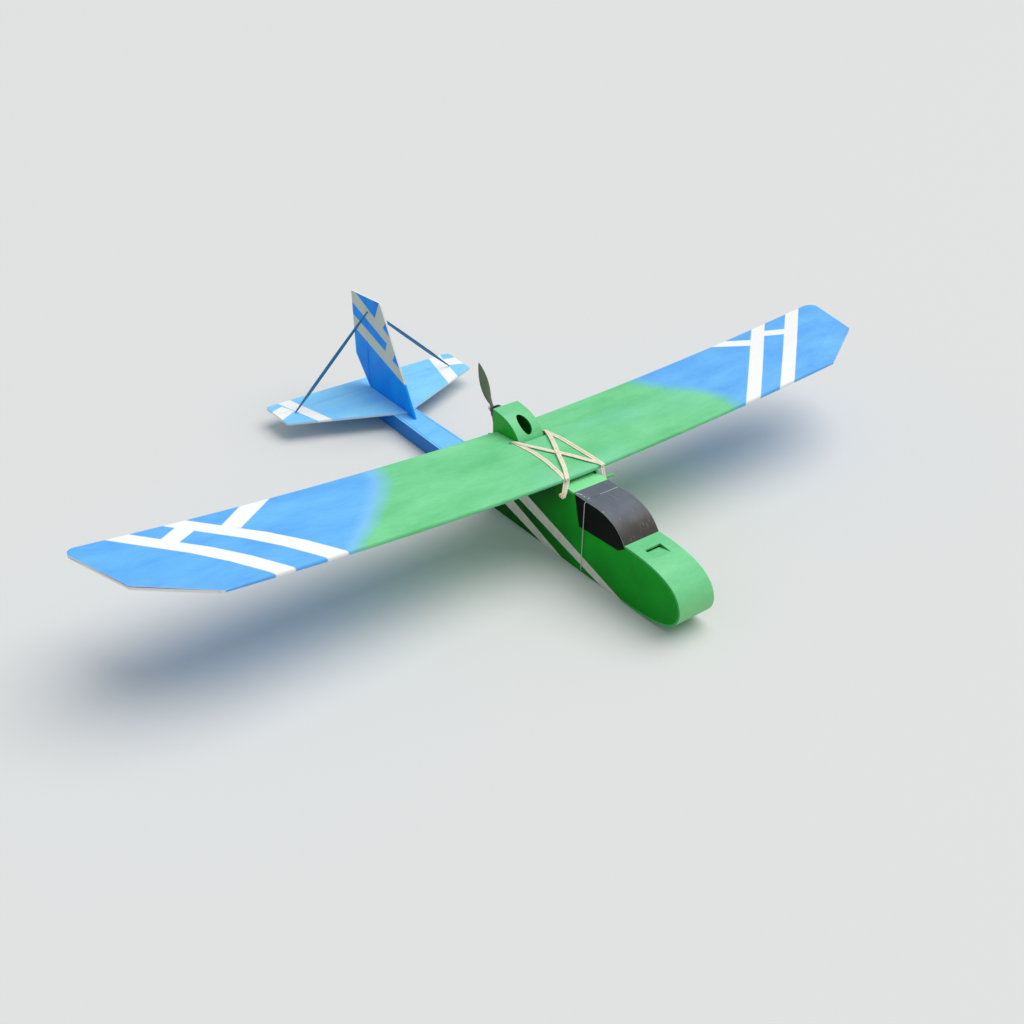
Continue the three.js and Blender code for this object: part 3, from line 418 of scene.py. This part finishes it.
def body_side_paint():
    """Deep green sides with a black window and two pale stripes, and lighter board edges. Painted shade
    darkens the sides towards the belly, towards the rear and just under the wing. The sides' deep green is
    partly painted shade, and the lighter edges are partly painted sky sheen.
    """
    paint = Paint("body_side_paint")
    paint.wobble(9.0, 0.6)
    # Painted shade: darker towards the belly.
    side = paint.mix(paint.past("Z", -120.0, 130), BELLY_SHADE_GREEN, DEEP_GREEN)
    # Painted shade: darker aft, where the wing lies over the side.
    side = paint.mix(paint.before("Y", 20.0, 150), REAR_SHADE_GREEN, side)
    # Painted shade just under the wing, high on the side and aft of its leading edge.
    under_wing_shade = paint.math("MULTIPLY", paint.past("Z", -44.0, 60), paint.past("Y", 12.0, 70))
    patches = paint.tone(paint.noise(60.0, 4.0, seed=1), 0.86, 1.12)
    side = paint.shade(paint.mix(under_wing_shade, side, UNDER_WING_SHADE_GREEN), patches)
    stripes = paint.marks("YZ", stripes=BODY_STRIPES)
    pale = paint.shade(STRIPE_CREAM, paint.tone(paint.noise(14.0, 3.0, seed=4), 0.9, 1.05))
    side = paint.mix(paint.soft(stripes, width=1.5), side, pale)
    side = paint.mix(paint.soft(paint.shape("YZ", WINDOW), width=1.2), side, WINDOW_BLACK)
    edge = paint.shade(LIGHT_GREEN, paint.tone(paint.noise(9.0), 0.9, 1.06))
    # Faces that don't face sideways get a lighter green, which is partly painted sky sheen. The deep sides
    # are partly painted shade.
    shown = paint.mix(paint.faces("X", 0.5, 0.2), edge, side)
    return paint.finish(shown, 0.55, foam_height(paint), 0.06, shine=0.12)


LOW_NOSE_SHADE_SHARE = 0.35  # how far the green turns into the duller one, which is painted shade low on the nose


def green_paint(name, light, pooled, deep_and_shaded_sides):
    """Green foam board with painted shade low on the nose. Its sides are a deeper spray than its top and are
    also darker as painted shade, and the paler top is partly painted sky sheen.
    """
    paint = Paint(name)
    top = brushed(paint, light, pooled, seed=8)
    # Painted shade: a duller green low on the nose.
    low = paint.math("MULTIPLY", paint.before("Z", -84.0, 40), LOW_NOSE_SHADE_SHARE)
    # The sides get a deeper green that is partly painted shade, and the top's paler green is partly painted
    # sky sheen.
    shown = paint.mix(paint.faces("X", 0.6, 0.3), paint.mix(low, top, LOW_NOSE_SHADE_GREEN), deep_and_shaded_sides)
    return paint.finish(shown, 0.5, foam_height(paint), 0.06, shine=0.3)


def blue_paint(name, light, pooled, deep_and_shaded_sides):
    """Blue foam board whose sides are a deeper spray than its top and are also darker as painted shade."""
    paint = Paint(name)
    # The sides get a deeper blue that is partly painted shade.
    shown = paint.mix(paint.faces("X", 0.6, 0.3), brushed(paint, light, pooled, seed=11), deep_and_shaded_sides)
    return paint.finish(shown, 0.5, foam_height(paint), 0.06, shine=0.25)


FIN_FIELDS = [
    [(812, 107), (640, 33), (570, 3), (560, -66), (812, 13)],
    [(703, 60), (682, 104), (640, 104), (600, 30), (640, 33)],
]
FIN_BARS = [
    [(815, 72), (657, 17), (664, -4), (815, 44)],
    [(654, 71), (671, 49), (620, 25), (625, 60)],
    [(625, 4), (636, -16), (590, -30), (590, -8)],
]


def fin_paint():
    """Blue fin and rudder with white fields that blue bars cross, and a bare foam rim."""
    paint = Paint("fin_paint")
    paint.wobble(8.0, 0.5)
    fields = paint.marks("YZ", shapes=FIN_FIELDS)
    bars = paint.marks("YZ", shapes=FIN_BARS)
    blue = brushed(paint, DEEP_BLUE, colour(4, 136, 250), seed=13)
    shown = paint.mix(paint.soft(paint.least(fields, paint.opposite(bars)), width=1.4), blue, FIN_WHITE)
    rim = paint.least(paint.rims("X", 0.5, 0.2), paint.past("Z", -30.0, 20))
    return paint.finish(paint.mix(rim, shown, BARE_FOAM), 0.5, foam_height(paint), 0.05, shine=0.15)


TAIL_STRIPES = [
    [(-214, 788), (-179, 660), (-186, 794), (-152, 652)],
    [(190, 793), (152, 648), (221, 790), (188, 660)],
]
TAIL_BARS = [
    [(-213, 766), (-200, 732), (-243, 708), (-243, 754)],
    [(203, 764), (245, 753), (240, 714), (196, 733)],
]
TAIL_EDGE_SHARE = 0.45  # how much bare foam shows through on the tailplane's edges


def tail_paint():
    """Blue tailplane with white bars near the tips, and edges where bare foam half shows."""
    paint = Paint("tail_paint")
    paint.wobble(8.0, 0.5)
    marks = paint.marks("XY", TAIL_STRIPES, TAIL_BARS)
    blue = brushed(paint, colour(142, 216, 255), colour(122, 202, 255), seed=17)
    shown = paint.mix(paint.soft(marks, width=1.6), blue, WHITE)
    edge = paint.math("MULTIPLY", paint.rims("Z", 0.5, 0.2), TAIL_EDGE_SHARE)
    return paint.finish(paint.mix(edge, shown, BARE_FOAM), 0.5, foam_height(paint), 0.05, shine=0.3)


BEAD_SCALE = 0.45


def bare_foam():
    """Unpainted foam with its fine beads."""
    paint = Paint("bare_foam")
    beads = paint.node("ShaderNodeTexVoronoi")
    beads.inputs["Scale"].default_value = BEAD_SCALE
    paint.feed(beads.inputs["Vector"], paint.at)
    shown = paint.shade(BARE_FOAM, paint.tone(paint.noise(12.0, 3.0), 0.94, 1.04))
    return paint.finish(shown, 0.85, beads.outputs["Distance"], 0.12)


SCUFFS = [
    [(-38, -31), (-37, -29.5), (-31, -39), (-32, -41)],
    [(-33, -45), (-32, -44), (-30.4, -47.6), (-32, -48.4)],
    [(-31, -55), (-29.4, -54), (-29, -57), (-30.4, -57.4)],
    [(-38.8, -103), (-37.4, -102), (-37, -106), (-38.4, -106)],
    [(-4, -56.1), (24, -56.1), (40, -56.3), (40, -57.5), (-4, -57.3)],
]
SCRATCH_LEVEL = 0.68  # height of the noise above which a scratch shows
SCRATCH_SHARE = 0.45  # how strongly it shows


def canopy_sheet():
    """Satin grey plastic sheet with rubbed patches, scratches, scuffs and a paler cut edge, bluer grey on
    top and browner and darker low down as painted reflection of sky and ground.
    """
    paint = Paint("canopy_sheet")
    patches = paint.tone(paint.noise(26.0, 5.0, stretch=(1.4, 0.5, 1), seed=3), 0.88, 1.14)
    # Painted reflection: bluish grey high up, where the sheet mirrors the sky, and brownish dark low down,
    # where it mirrors the ground.
    top = paint.past("Z", -16.0, 16)
    shown = paint.shade(paint.mix(top, colour(60, 54, 49), colour(88, 96, 108)), patches)
    long_noise = paint.noise(9.0, 2.0, stretch=(3.0, 0.12, 1), seed=6)
    scratches = paint.soft(paint.math("SUBTRACT", long_noise, SCRATCH_LEVEL), width=0.05)
    shown = paint.mix(paint.math("MULTIPLY", scratches, SCRATCH_SHARE), shown, colour(140, 142, 148))
    paint.wobble(3.0, 1.2)
    scuffs = paint.marks("XY", shapes=SCUFFS)
    shown = paint.mix(paint.soft(scuffs, width=0.8), shown, colour(186, 204, 196))
    shown = paint.mix(paint.faces("X", 0.5, 0.2), shown, colour(150, 156, 158))
    rough = paint.tone(paint.noise(22.0, 4.0, seed=9), 0.48, 0.62)
    return paint.finish(shown, rough, paint.noise(0.8, 3.0, stretch=(0.2, 1, 1)), 0.03)


PAINT_END_X = -46.0  # where the paint on a dowel ends and its bare starboard end begins


def timber(name, light, dark, size, painted=False):
    """Wood with its grain along X."""
    paint = Paint(name)
    rings = paint.noise(size, 5.0, stretch=(0.06, 1, 1), rough=0.6)
    shown = paint.mix(paint.tone(rings, 0, 1), light, dark)
    if painted:
        shown = paint.mix(paint.past("X", PAINT_END_X, 6), shown, colour(104, 196, 118))
    return paint.finish(shown, 0.7, rings, 0.1)


def rubber():
    """Dusty cream rubber with faint marks across it."""
    paint = Paint("rubber")
    shown = paint.mix(paint.tone(paint.noise(9.0, 4.0), 0, 1), colour(246, 238, 214), colour(230, 216, 190))
    return paint.finish(shown, 0.62, paint.noise(0.5, 3.0, stretch=(1, 3, 1)), 0.08)


def metal(name, tint, rough):
    """Metal with fine turned lines."""
    paint = Paint(name)
    shown = paint.shade(tint, paint.tone(paint.noise(4.0, 3.0), 0.9, 1.08))
    worn = paint.tone(paint.noise(2.0, 4.0, seed=2), rough, rough + 0.12)
    return paint.finish(shown, worn, paint.noise(0.6, 2.0, stretch=(1, 6, 1)), 0.01, metal=1.0)


TURN_SCALE = 0.35
TURN_WANDER = 1.5


def windings():
    """Lacquered copper wire, turn beside turn."""
    paint = Paint("windings")
    turns = paint.node("ShaderNodeTexWave")
    turns.inputs["Scale"].default_value = TURN_SCALE
    turns.inputs["Distortion"].default_value = TURN_WANDER
    paint.feed(turns.inputs["Vector"], paint.at)
    height = turns.outputs["Fac"]
    shown = paint.mix(height, colour(96, 48, 20), colour(206, 124, 60))
    return paint.finish(shown, 0.35, height, 0.3, metal=0.8)


def plastic(name, tint, rough, spread=0.06, coat=0.0):
    """Moulded plastic whose tint varies by spread either way."""
    paint = Paint(name)
    shown = paint.shade(tint, paint.tone(paint.noise(16.0, 4.0), 1 - spread, 1 + spread))
    worn = paint.tone(paint.noise(7.0, 3.0, seed=4), rough - 0.05, rough + 0.07)
    return paint.finish(shown, worn, paint.noise(0.5, 3.0), 0.03, coat=coat)


# ------------------------------------------------------------------ softened copies of CAD pieces
WELD = 3e-6  # metres within which two corners are one
CLEANUP = 2e-6  # the same after bevelling
ON_SEAM = 1e-7  # metres from the middle within which a corner counts as on it
SEAM = 0.2  # millimetres from the middle within which a corner belongs to the seam of two halves
FLAT = 0.25  # degrees below which two faces are one
FOLD = (2.5, 20)  # degrees between which an edge is a fold in the foam
FOLD_LENGTH = 0.03  # metres; shorter folds stay as they are
CUT = 32  # degrees above which an edge is cut or moulded


def finish_mesh(mesh, sharp_angle=35):
    """Smooth shading that keeps edges sharper than this many degrees."""
    for face in mesh.polygons:
        face.use_smooth = True
    mesh.set_sharp_from_angle(angle=math.radians(sharp_angle))


def new_piece(name, mesh, material, body, slot, *replaced):
    """A visual piece that rides a body and stands for the replaced nodes."""
    mesh.materials.clear()
    mesh.materials.append(material)
    piece = bpy.data.objects.new(name, mesh)
    bpy.context.scene.collection.objects.link(piece)
    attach(piece, body)
    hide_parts(*replaced)
    return piece


def slot_of(node):
    return next(row["material_slot"] for row in frame["record"]["subparts"] if row["node"] == node)


def closed_seam(work):
    """Joins two halves that face each other across the middle, and clears the faces between them."""
    for vert in work.verts:
        if abs(vert.co.x) < SEAM * MM:
            vert.co.x = 0.0
    bmesh.ops.remove_doubles(work, verts=work.verts, dist=WELD)
    inner = [face for face in work.faces if all(abs(vert.co.x) < ON_SEAM for vert in face.verts)]
    bmesh.ops.delete(work, geom=inner, context="FACES")


def bevelled(work, edges, width, segments):
    bmesh.ops.bevel(work, geom=edges, offset=width * MM, segments=segments, profile=0.5, affect="EDGES",
                    clamp_overlap=True)


def softened(node, material, bevel, crease=0.0, segments=2, mirror_node=None):
    """A copy of the CAD piece, joined to its mirror_node if there is one, with eased edges.

    bevel and crease are the widths, in millimetres, that ease its edges and its long shallow folds.
    """
    nodes = [node, mirror_node] if mirror_node else [node]
    mesh = bpy.data.meshes.new("soft_" + node)
    work = bmesh.new()
    for name in nodes:
        work.from_mesh(NODES[name].data)
    bmesh.ops.remove_doubles(work, verts=work.verts, dist=WELD)
    if mirror_node:
        closed_seam(work)
    bmesh.ops.dissolve_limit(work, angle_limit=math.radians(FLAT), verts=work.verts, edges=work.edges)
    if crease:
        folds = [edge for edge in work.edges if len(edge.link_faces) == 2
                 and FOLD[0] < math.degrees(edge.calc_face_angle(0)) < FOLD[1]
                 and edge.calc_length() > FOLD_LENGTH]
        bevelled(work, folds, crease, segments=2)
    corners = [edge for edge in work.edges if len(edge.link_faces) == 2
               and math.degrees(edge.calc_face_angle(0)) > CUT]
    bevelled(work, corners, bevel, segments)
    bmesh.ops.remove_doubles(work, verts=work.verts, dist=CLEANUP)
    bmesh.ops.recalc_face_normals(work, faces=work.faces)
    work.to_mesh(mesh)
    work.free()
    if "custom_normal" in mesh.attributes:
        mesh.attributes.remove(mesh.attributes["custom_normal"])
    finish_mesh(mesh)
    piece = new_piece(node + "_look", mesh, material, NODES[node]["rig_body"], slot_of(node), *nodes)
    weighted = piece.modifiers.new("even_shading", "WEIGHTED_NORMAL")
    weighted.keep_sharp = True
    return piece


def repaint(nodes, material):
    """Gives CAD pieces whose shape is right a better material."""
    for node in nodes:
        NODES[node].data.materials.clear()
        NODES[node].data.materials.append(material)


# ------------------------------------------------------------------ swept strands
STRAND_SIDES = 12
FULLNESS = 0.6  # 1 gives an oval section, and less gives a fuller one


def smooth_path(points, steps):
    """Catmull-Rom curve through points, with steps pieces between neighbours."""
    ends = [points[0] * 2 - points[1]] + points + [points[-1] * 2 - points[-2]]
    path = []
    for i in range(1, len(ends) - 2):
        a, b, c, d = ends[i - 1:i + 3]
        for k in range(steps):
            t = k / steps
            path.append(0.5 * ((2 * b) + (c - a) * t + (2 * a - 5 * b + 4 * c - d) * t * t
                               + (3 * b - a - 3 * c + d) * t ** 3))
    return path + [points[-1]]


def fuller(share):
    return math.copysign(abs(share) ** FULLNESS, share)


def swept(path, across, widths, thick):
    """A mesh of a rounded flat section along path, whose width lies as near as it can to across."""
    work = bmesh.new()
    rings = []
    for i, point in enumerate(path):
        along = (path[min(i + 1, len(path) - 1)] - path[max(i - 1, 0)]).normalized()
        side = (across - along * across.dot(along)).normalized()
        up = along.cross(side)
        ring = []
        for k in range(STRAND_SIDES):
            angle = 2 * math.pi * k / STRAND_SIDES
            wide = fuller(math.cos(angle)) * widths[i] / 2
            deep = fuller(math.sin(angle)) * thick / 2
            ring.append(work.verts.new(point + side * wide + up * deep))
        rings.append(ring)
    for near, far in zip(rings, rings[1:]):
        for k in range(STRAND_SIDES):
            after = (k + 1) % STRAND_SIDES
            work.faces.new((near[k], near[after], far[after], far[k]))
    work.faces.new(rings[0][::-1])
    work.faces.new(rings[-1])
    bmesh.ops.recalc_face_normals(work, faces=work.faces)
    return work


# ------------------------------------------------------------------ rubber bands
FOLDS = [(12, 10.2), (57, 14.6), (108, 14.6), (220, 4)]  # Y and Z of the top skin's folds and rear edge
UNDERSIDE_Z = -1
NOSE_R = 5.1
DIHEDRAL = 0.0166
STARBOARD_BOW = 0.058e-3
PORT_BOW = 0.05e-3
DOWEL_R = 2.8
FRONT_DOWEL = (-10, -13.3)
REAR_DOWEL = (157, 6.5)

STRAND_W = 4.6
STRAND_T = 1.3
SQUEEZE = 0.72  # width of a strand at the dowels, as a share of its full width
FRONT_EASE = (18, 30)  # steps along a strand between which it widens behind the front dowel
REAR_EASE = (24, 32)  # and, counted from its other end, in front of the rear dowel
STEPS = 5  # of the smooth path between two points of a track
STRAND_PHASES = (0.0, 1.7)
SLACK = 0.2  # how far a strand wanders from its neighbour
SLACK_PACE = 2.1
HALF_GAP = 0.04  # half of the gap where two strands touch
STRAND_LIFT = 0.25  # how much higher one strand lies than its neighbour
LAYER = STRAND_T + STRAND_LIFT  # height of one band over another
DOWEL_PLAY = 0.15  # how far a strand stands off a dowel, the wing's nose and its top skin
NOSE_PLAY = 0.1
SKIN_PLAY = 0.25
# The angles, in half turns, of a strand's points round the front dowel, the nose and the rear dowel.
FRONT_TURNS = (1.9, 1.65, 1.4, 1.15)
NOSE_TURNS = (1.06, 0.9, 0.72)
REAR_TURNS = (0.5, 0.25, 0.0, -0.25, -0.5)

# The middle line of each band, as X and Y, from the front dowel over the wing to the rear dowel.
BANDS = {
    "starboard": {"layer": 0.0, "track": [
        (-54, -10), (-39, 0), (-37.5, 24), (-35.5, 57), (-34.5, 82), (-35, 108), (-36, 134), (-37, 150),
        (-37, 157)]},
    "port": {"layer": 0.0, "track": [
        (44, -10), (49, 0), (46, 24), (42, 57), (41.5, 82), (41, 108), (40.5, 134), (40, 150), (40, 157)]},
    "cross_under": {"layer": 1.0, "track": [
        (44, -10), (47.5, 0), (31, 24), (10, 57), (-4, 80), (-20, 108), (-31, 134), (-35, 150), (-36, 157)]},
    "cross_over": {"layer": 1.9, "track": [
        (-52.5, -10), (-35.5, 0), (-21.5, 24), (-6.5, 57), (5, 80), (19, 108), (31, 134), (37, 150),
        (39, 157)]},
}


def rise(x):
    """How much higher the wing lies at this span than at its root."""
    return DIHEDRAL * abs(x) + (STARBOARD_BOW if x < 0 else PORT_BOW) * x * x


def wing_top(x, y):
    """Height of the wing's top surface behind its first fold."""
    (y0, z0), (y1, z1) = next(flat for flat in zip(FOLDS, FOLDS[1:]) if y <= flat[1][0])
    return z0 + (z1 - z0) * (y - y0) / (y1 - y0) + rise(x)


def arc(x, middle_y, middle_z, radius, half_turns):
    """Points on a circle about a line along X."""
    angles = [turn * math.pi for turn in half_turns]
    return [place(x, middle_y + radius * math.cos(angle), middle_z + radius * math.sin(angle))
            for angle in angles]


def band_points(track, lift):
    """Points of one strand: round the front dowel, over the wing along track, and round the rear dowel."""
    front_x, nose_x, rear_x = track[0][0], track[1][0], track[-1][0]
    loop_r = DOWEL_R + STRAND_T / 2 + DOWEL_PLAY + lift
    nose_r = NOSE_R + STRAND_T / 2 + NOSE_PLAY + lift
    points = arc(front_x, *FRONT_DOWEL, loop_r, FRONT_TURNS)
    points += arc(nose_x, NOSE_R, UNDERSIDE_Z + NOSE_R + rise(nose_x), nose_r, NOSE_TURNS)
    points += [place(x, y, wing_top(x, y) + STRAND_T / 2 + SKIN_PLAY + lift) for x, y in track[2:-1]]
    return points + arc(rear_x, *REAR_DOWEL, loop_r, REAR_TURNS)


def strand_track(track, sign, phase):
    """The middle line of one of a band's two strands, drawn to its neighbour at the dowels."""
    shifted = []
    for i, (x, y) in enumerate(track):
        held = i == 0 or i >= len(track) - 2
        lead = i == 1 or i == len(track) - 3
        slack = 0.0 if held else SLACK * math.sin(i * SLACK_PACE + phase) ** 2
        squeeze = SQUEEZE if held else (1 + SQUEEZE) / 2 if lead else 1
        shifted.append((x + sign * (STRAND_W * squeeze / 2 + HALF_GAP + slack), y))
    return shifted


def strand_widths(count):
    """A strand's width, in metres, at each of count steps."""
    widths = []
    for k in range(count):
        behind_front = (k - FRONT_EASE[0]) / (FRONT_EASE[1] - FRONT_EASE[0])
        before_rear = (count - 1 - k - REAR_EASE[0]) / (REAR_EASE[1] - REAR_EASE[0])
        free = max(0.0, min(behind_front, before_rear, 1.0))
        widths.append(STRAND_W * MM * (SQUEEZE + (1 - SQUEEZE) * free))
    return widths


def rubber_band(name, track, lift, material):
    """Two strands side by side, drawn together at the dowels, that part and touch again along the way."""
    work = bmesh.new()
    for sign, phase in zip((-1, 1), STRAND_PHASES):
        raised = lift + (STRAND_LIFT if sign > 0 else 0)
        path = smooth_path(band_points(strand_track(track, sign, phase), raised), STEPS)
        strand = swept(path, Vector((1, 0, 0)), strand_widths(len(path)), STRAND_T * MM)
        part = bpy.data.meshes.new("strand")
        strand.to_mesh(part)
        strand.free()
        work.from_mesh(part)
        bpy.data.meshes.remove(part)
    mesh = bpy.data.meshes.new("band_" + name)
    work.to_mesh(mesh)
    work.free()
    finish_mesh(mesh, sharp_angle=60)
    new_piece("band_" + name, mesh, material, "airframe", "rubber_bands", "rubber_band_" + name)


def rubber_bands():
    material = rubber()
    for name, band in BANDS.items():
        rubber_band(name, band["track"], band["layer"] * LAYER, material)


# ------------------------------------------------------------------ the aerial wire
AERIAL_Y = -60
AERIAL_BEND = {"x": -39.2, "z": -9.4, "radius": 3.6}
AERIAL_EXIT = [(3.6, -0.3), (1.8, -0.1)]  # X and Z inside its notch, from the start of the bend
AERIAL_DROP = (-15.4, -19, -25, -40, -62, -88, -112, -134, -155)  # Z of its points below the bend
AERIAL_DIAMETER = 1.3
AERIAL_STEPS = 4  # of the smooth path between two of its points


def aerial_points():
    """Out of its notch, round a bend, and straight down beside the fuselage."""
    x, z, radius = AERIAL_BEND["x"], AERIAL_BEND["z"], AERIAL_BEND["radius"]
    points = [(x + inward, z + up) for inward, up in AERIAL_EXIT]
    for degrees in (0, 30, 60, 90):
        angle = math.radians(degrees)
        points.append((x - radius * math.sin(angle), z - radius + radius * math.cos(angle)))
    points += [(x - radius, low) for low in AERIAL_DROP]
    return [place(across, AERIAL_Y, height) for across, height in points]


def aerial():
    points = aerial_points()
    path = smooth_path(points, AERIAL_STEPS)
    data = bpy.data.curves.new("aerial_wire", "CURVE")
    data.dimensions = "3D"
    data.bevel_depth = AERIAL_DIAMETER / 2 * MM
    data.bevel_resolution = 4
    data.use_fill_caps = True
    spline = data.splines.new("POLY")
    spline.points.add(len(path) - 1)
    for point, where in zip(spline.points, path):
        point.co = (*where, 1.0)
    spline.use_smooth = True
    data.materials.append(plastic("aerial_jacket", colour(206, 208, 196), 0.45))
    wire = bpy.data.objects.new("aerial_wire", data)
    bpy.context.scene.collection.objects.link(wire)
    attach(wire, "airframe")
    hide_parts("antenna_wire")


# ------------------------------------------------------------------ the airframe
def airframe():
    """Everything made of foam board, the canopy sheet and the two struts."""
    softened("wing_top_skin_starboard", wing_top_paint(), 0.8, crease=4.0, mirror_node="wing_top_skin_port")
    softened("wing_bottom_skin_starboard", wing_under_paint(), 0.6, mirror_node="wing_bottom_skin_port")
    side_paint = body_side_paint()
    for side in ("starboard", "port"):
        softened("fuselage_side_" + side, side_paint, 0.6)
    pale = green_paint("pale_green_paint", BRIGHT_GREEN, POOLED_GREEN, colour(60, 176, 84))
    deck = green_paint("deck_paint", colour(140, 236, 160), BRIGHT_GREEN, colour(96, 206, 122))
    softened("fuselage_deck", deck, 0.5)
    softened("nose_skin", pale, 0.6)
    softened("pod_skin", pale, 0.6)
    deep = green_paint("deep_green_paint", colour(70, 182, 92), DEEP_GREEN, colour(14, 172, 42))
    for node in ("pod_side_starboard", "pod_side_port", "fuselage_floor"):
        softened(node, deep, 0.6)
    sheet = canopy_sheet()
    for node in ("canopy_hatch", "canopy_rear_strip"):
        softened(node, sheet, 0.2)
    boom_blue = blue_paint("boom_paint", PALE_BLUE, SKY_BLUE, colour(26, 120, 202))
    for node in ("boom_side_starboard", "boom_side_port", "boom_top", "boom_floor"):
        softened(node, boom_blue, 0.6)
    tail, fin = tail_paint(), fin_paint()
    for node in ("stabiliser", "elevator"):
        softened(node, tail, 0.3)
    for node in ("fin", "rudder"):
        softened(node, fin, 0.6)
    repaint(["nose_former", "deck_former", "wing_former", "rear_bulkhead", "tail_former",
             "wing_spar_starboard", "wing_spar_port"], bare_foam())
    strut = plastic("brace_paint", colour(54, 122, 166), 0.55)
    for node in ("brace_starboard", "brace_port"):
        softened(node, strut, 0.5)


def fittings():
    """Dowels, drive, battery and radio gear."""
    repaint(["equipment_tray", "motor_firewall"],
            timber("plywood", colour(214, 184, 136), colour(176, 140, 92), 5.0))
    wood = timber("dowel_wood", colour(232, 208, 162), colour(204, 172, 120), 2.0, painted=True)
    softened("front_dowel", wood, 0.5)
    softened("rear_dowel", wood, 0.5)
    alloy = metal("alloy", colour(196, 198, 202), 0.28)
    repaint(["motor_mount", "prop_adapter", "rudder_pushrod", "elevator_pushrod"], alloy)
    repaint(["motor_bell"], metal("motor_can", colour(74, 76, 82), 0.3))
    repaint(["motor_stator"], windings())
    softened("propeller", plastic("prop_plastic", colour(94, 103, 82), 0.45, spread=0.08), 0.3)
    nylon = plastic("white_nylon", colour(238, 238, 234), 0.4)
    for node in ("prop_nut", "rudder_horn", "elevator_horn", "rudder_servo_arm", "elevator_servo_arm"):
        softened(node, nylon, 0.25)
    case = plastic("servo_case", colour(28, 62, 140), 0.3, coat=0.3)
    for node in ("rudder_servo", "elevator_servo"):
        softened(node, case, 0.4)
    softened("battery", plastic("battery_wrap", colour(38, 42, 50), 0.32, coat=0.4), 1.5, segments=4)
    dark = plastic("black_plastic", colour(24, 24, 27), 0.55)
    for node in ("speed_controller", "receiver", "battery_strap"):
        softened(node, dark, 0.6)
    repaint(["motor_leads", "servo_leads"], plastic("wire_jacket", colour(22, 22, 25), 0.5))


# ------------------------------------------------------------------ floor and light
FLOOR_HALF = 30
FLOOR_DROP = 0.0005  # keeps the floor just clear of what stands on it
FLOOR_GREY = (0.72, 0.72, 0.71, 1.0)
SKY_TINT = (0.86, 0.93, 1.0, 1.0)
SKY_POWER = 0.46
SUN_TINT = (1.0, 0.985, 0.95)
SUN_POWER = 2.25
SUN_SIZE = 60  # in degrees, like its tilt and heading
SUN_TILT = 26
SUN_HEADING = 82


def make_floor():
    mesh = bpy.data.meshes.new("floor")
    corners = [(x * FLOOR_HALF, y * FLOOR_HALF, 0) for x, y in ((-1, -1), (1, -1), (1, 1), (-1, 1))]
    mesh.from_pydata(corners, [], [(0, 1, 2, 3)])
    floor = bpy.data.objects.new("floor", mesh)
    floor.location.z = -FLOOR_DROP
    bpy.context.scene.collection.objects.link(floor)
    mesh.materials.append(Paint("floor_paint").finish(FLOOR_GREY, 0.9))


def make_sky():
    world = bpy.data.worlds.new("studio")
    world.use_nodes = True
    background = world.node_tree.nodes["Background"]
    background.inputs["Color"].default_value = SKY_TINT
    background.inputs["Strength"].default_value = SKY_POWER
    bpy.context.scene.world = world


def make_sun():
    data = bpy.data.lights.new("key", "SUN")
    data.energy = SUN_POWER
    data.angle = math.radians(SUN_SIZE)
    data.color = SUN_TINT
    lamp = bpy.data.objects.new("key", data)
    lamp.rotation_euler = Euler((math.radians(SUN_TILT), 0, math.radians(SUN_HEADING)))
    bpy.context.scene.collection.objects.link(lamp)


make_camera()
aerial()
airframe()
fittings()
rubber_bands()
make_floor()
make_sky()
make_sun()
bpy.context.scene.view_settings.view_transform = "Standard"
